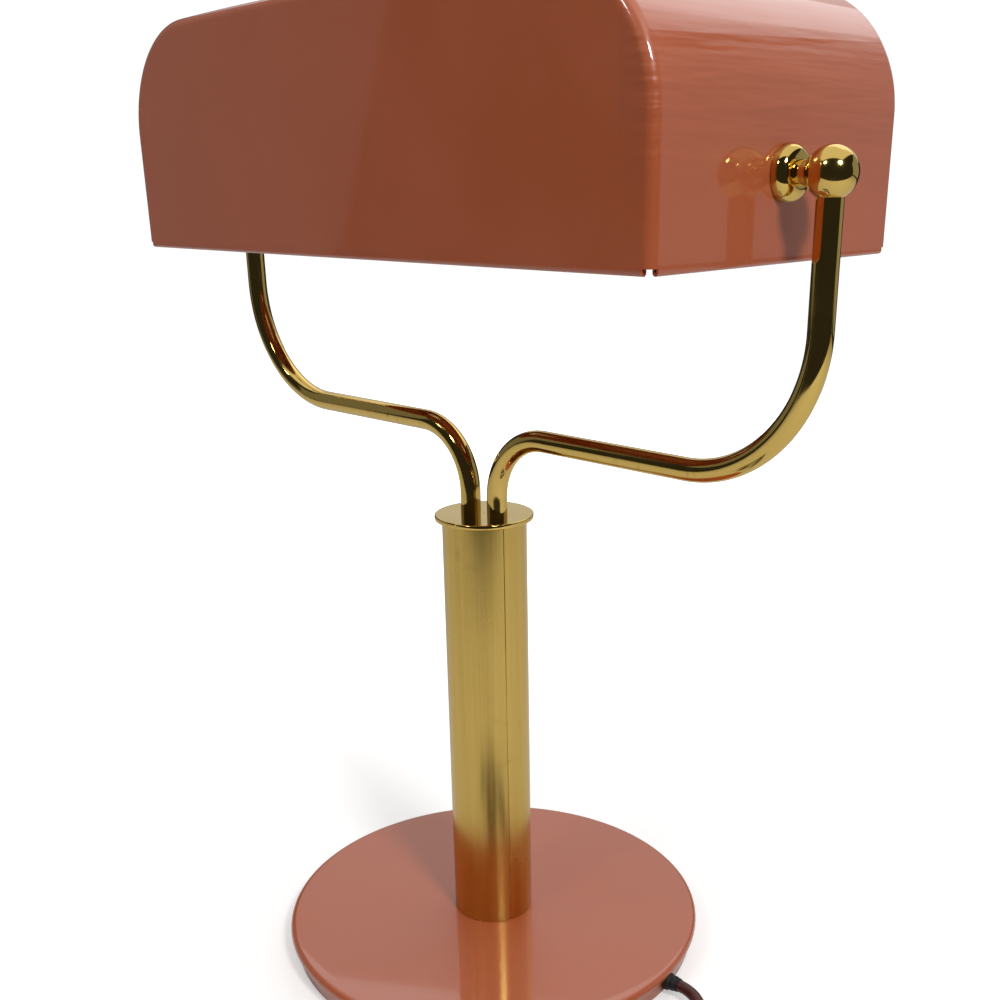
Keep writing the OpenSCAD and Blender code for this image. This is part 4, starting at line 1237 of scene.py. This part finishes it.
# %% Table top
TABLE = ((-2.2, 1.6), (-1.5, -2.0), (0.15, -0.85), (0.85, -0.15), (2.2, 1.6))
TABLE_PAINT = (0.72, 0.71, 0.70, 1)
GLOW_FROM, GLOW_FULL = 0.12, 0.7
GLOW_NEAR, GLOW_FAR, GLOW_MIRRORED = 0.42, 1.1, 0.05

table = mesh_piece("table_top", [Vector((x, y, 0)) for x, y in TABLE], [tuple(range(len(TABLE)))])
table_paint = bpy.data.materials.new("table_white")
table_paint.use_nodes = True
nodes, links = table_paint.node_tree.nodes, table_paint.node_tree.links
matt = nodes["Principled BSDF"]
matt.inputs["Base Color"].default_value = TABLE_PAINT
matt.inputs["Roughness"].default_value = 0.9
matt.inputs["Specular IOR Level"].default_value = 0.0
distance = nodes.new("ShaderNodeVectorMath")
distance.operation = "LENGTH"
links.new(nodes.new("ShaderNodeTexCoord").outputs["Object"], distance.inputs[0])
glow = nodes.new("ShaderNodeEmission")
links.new(ranged(table_paint.node_tree, distance.outputs["Value"], GLOW_FROM, GLOW_FULL,
                 GLOW_NEAR, GLOW_FAR), glow.inputs["Strength"])
dim = nodes.new("ShaderNodeEmission")
dim.inputs["Strength"].default_value = GLOW_MIRRORED
seen_or_not = nodes.new("ShaderNodeMixShader")
links.new(nodes.new("ShaderNodeLightPath").outputs["Is Camera Ray"], seen_or_not.inputs[0])
links.new(dim.outputs[0], seen_or_not.inputs[1])
links.new(glow.outputs[0], seen_or_not.inputs[2])
both = nodes.new("ShaderNodeAddShader")
links.new(matt.outputs[0], both.inputs[0])
links.new(seen_or_not.outputs[0], both.inputs[1])
links.new(both.outputs[0], nodes["Material Output"].inputs["Surface"])
table.data.materials.append(table_paint)
print("table top:", len(TABLE), "corners")

# %% [markdown]
# Four soft cards and three small lamps light it. The glossy pieces mirror them, so the places of
# the cards shape their reflections, and the lamps give the small highlights. The camera sees a
# white room, but the lamp mirrors a nearly dark one, which leaves its shadows deep.

# %% Lights
AIM = (0, 0, 0.25)
ROOM_SEEN, ROOM_FILL = 1.05, 0.03


def card_light(name, place, target, width, height, power, spin=0.0):
    """A rectangular soft light at a place, facing a target; its power is in watts."""
    data = bpy.data.lights.new(name, "AREA")
    data.shape = "RECTANGLE"
    data.size, data.size_y = width, height
    data.energy = power
    light = bpy.data.objects.new(name, data)
    bpy.context.scene.collection.objects.link(light)
    turn = (Vector(target) - Vector(place)).to_track_quat("-Z", "Y").to_matrix().to_4x4()
    light.matrix_world = Matrix.Translation(place) @ turn @ Matrix.Rotation(spin, 4, "Z")
    light.visible_camera = False


card_light("left_card", (-1.5, -0.55, 0.75), AIM, 1.3, 1.2, 0.9, spin=math.radians(-9))
card_light("top_card", (-0.2, 0.3, 1.9), AIM, 3.2, 3.2, 28)
card_light("back_card", (-1.9, 2.2, 2.1), (-1.9, 0, 1.2), 4.6, 2.6, 24)
card_light("side_card", (1.7, 2.2, 0.9), (1.5, 0, 0.9), 2.4, 1.8, 4.4)
card_light("right_lamp", (1.37, -0.43, 1.38), AIM, 0.3, 0.3, 17)
card_light("front_lamp", (0.05, -1.25, 1.38), AIM, 0.22, 0.22, 3)
card_light("left_lamp", (-0.62, -1.08, 1.2), AIM, 0.1, 0.1, 0.8)

world = bpy.data.worlds.new("studio")
bpy.context.scene.world = world
world.use_nodes = True
nodes, links = world.node_tree.nodes, world.node_tree.links
seen = nodes["Background"]
seen.inputs["Color"].default_value = (1, 1, 1, 1)
seen.inputs["Strength"].default_value = ROOM_SEEN
filling = nodes.new("ShaderNodeBackground")
filling.inputs["Color"].default_value = (1, 0.99, 0.97, 1)
filling.inputs["Strength"].default_value = ROOM_FILL
rays = nodes.new("ShaderNodeLightPath")
chosen = nodes.new("ShaderNodeMixShader")
links.new(rays.outputs["Is Camera Ray"], chosen.inputs[0])
links.new(filling.outputs[0], chosen.inputs[1])
links.new(seen.outputs[0], chosen.inputs[2])
links.new(chosen.outputs[0], nodes["World Output"].inputs["Surface"])
bpy.context.scene.view_settings.view_transform = "Standard"
print("four cards, three lamps and the room are lit")
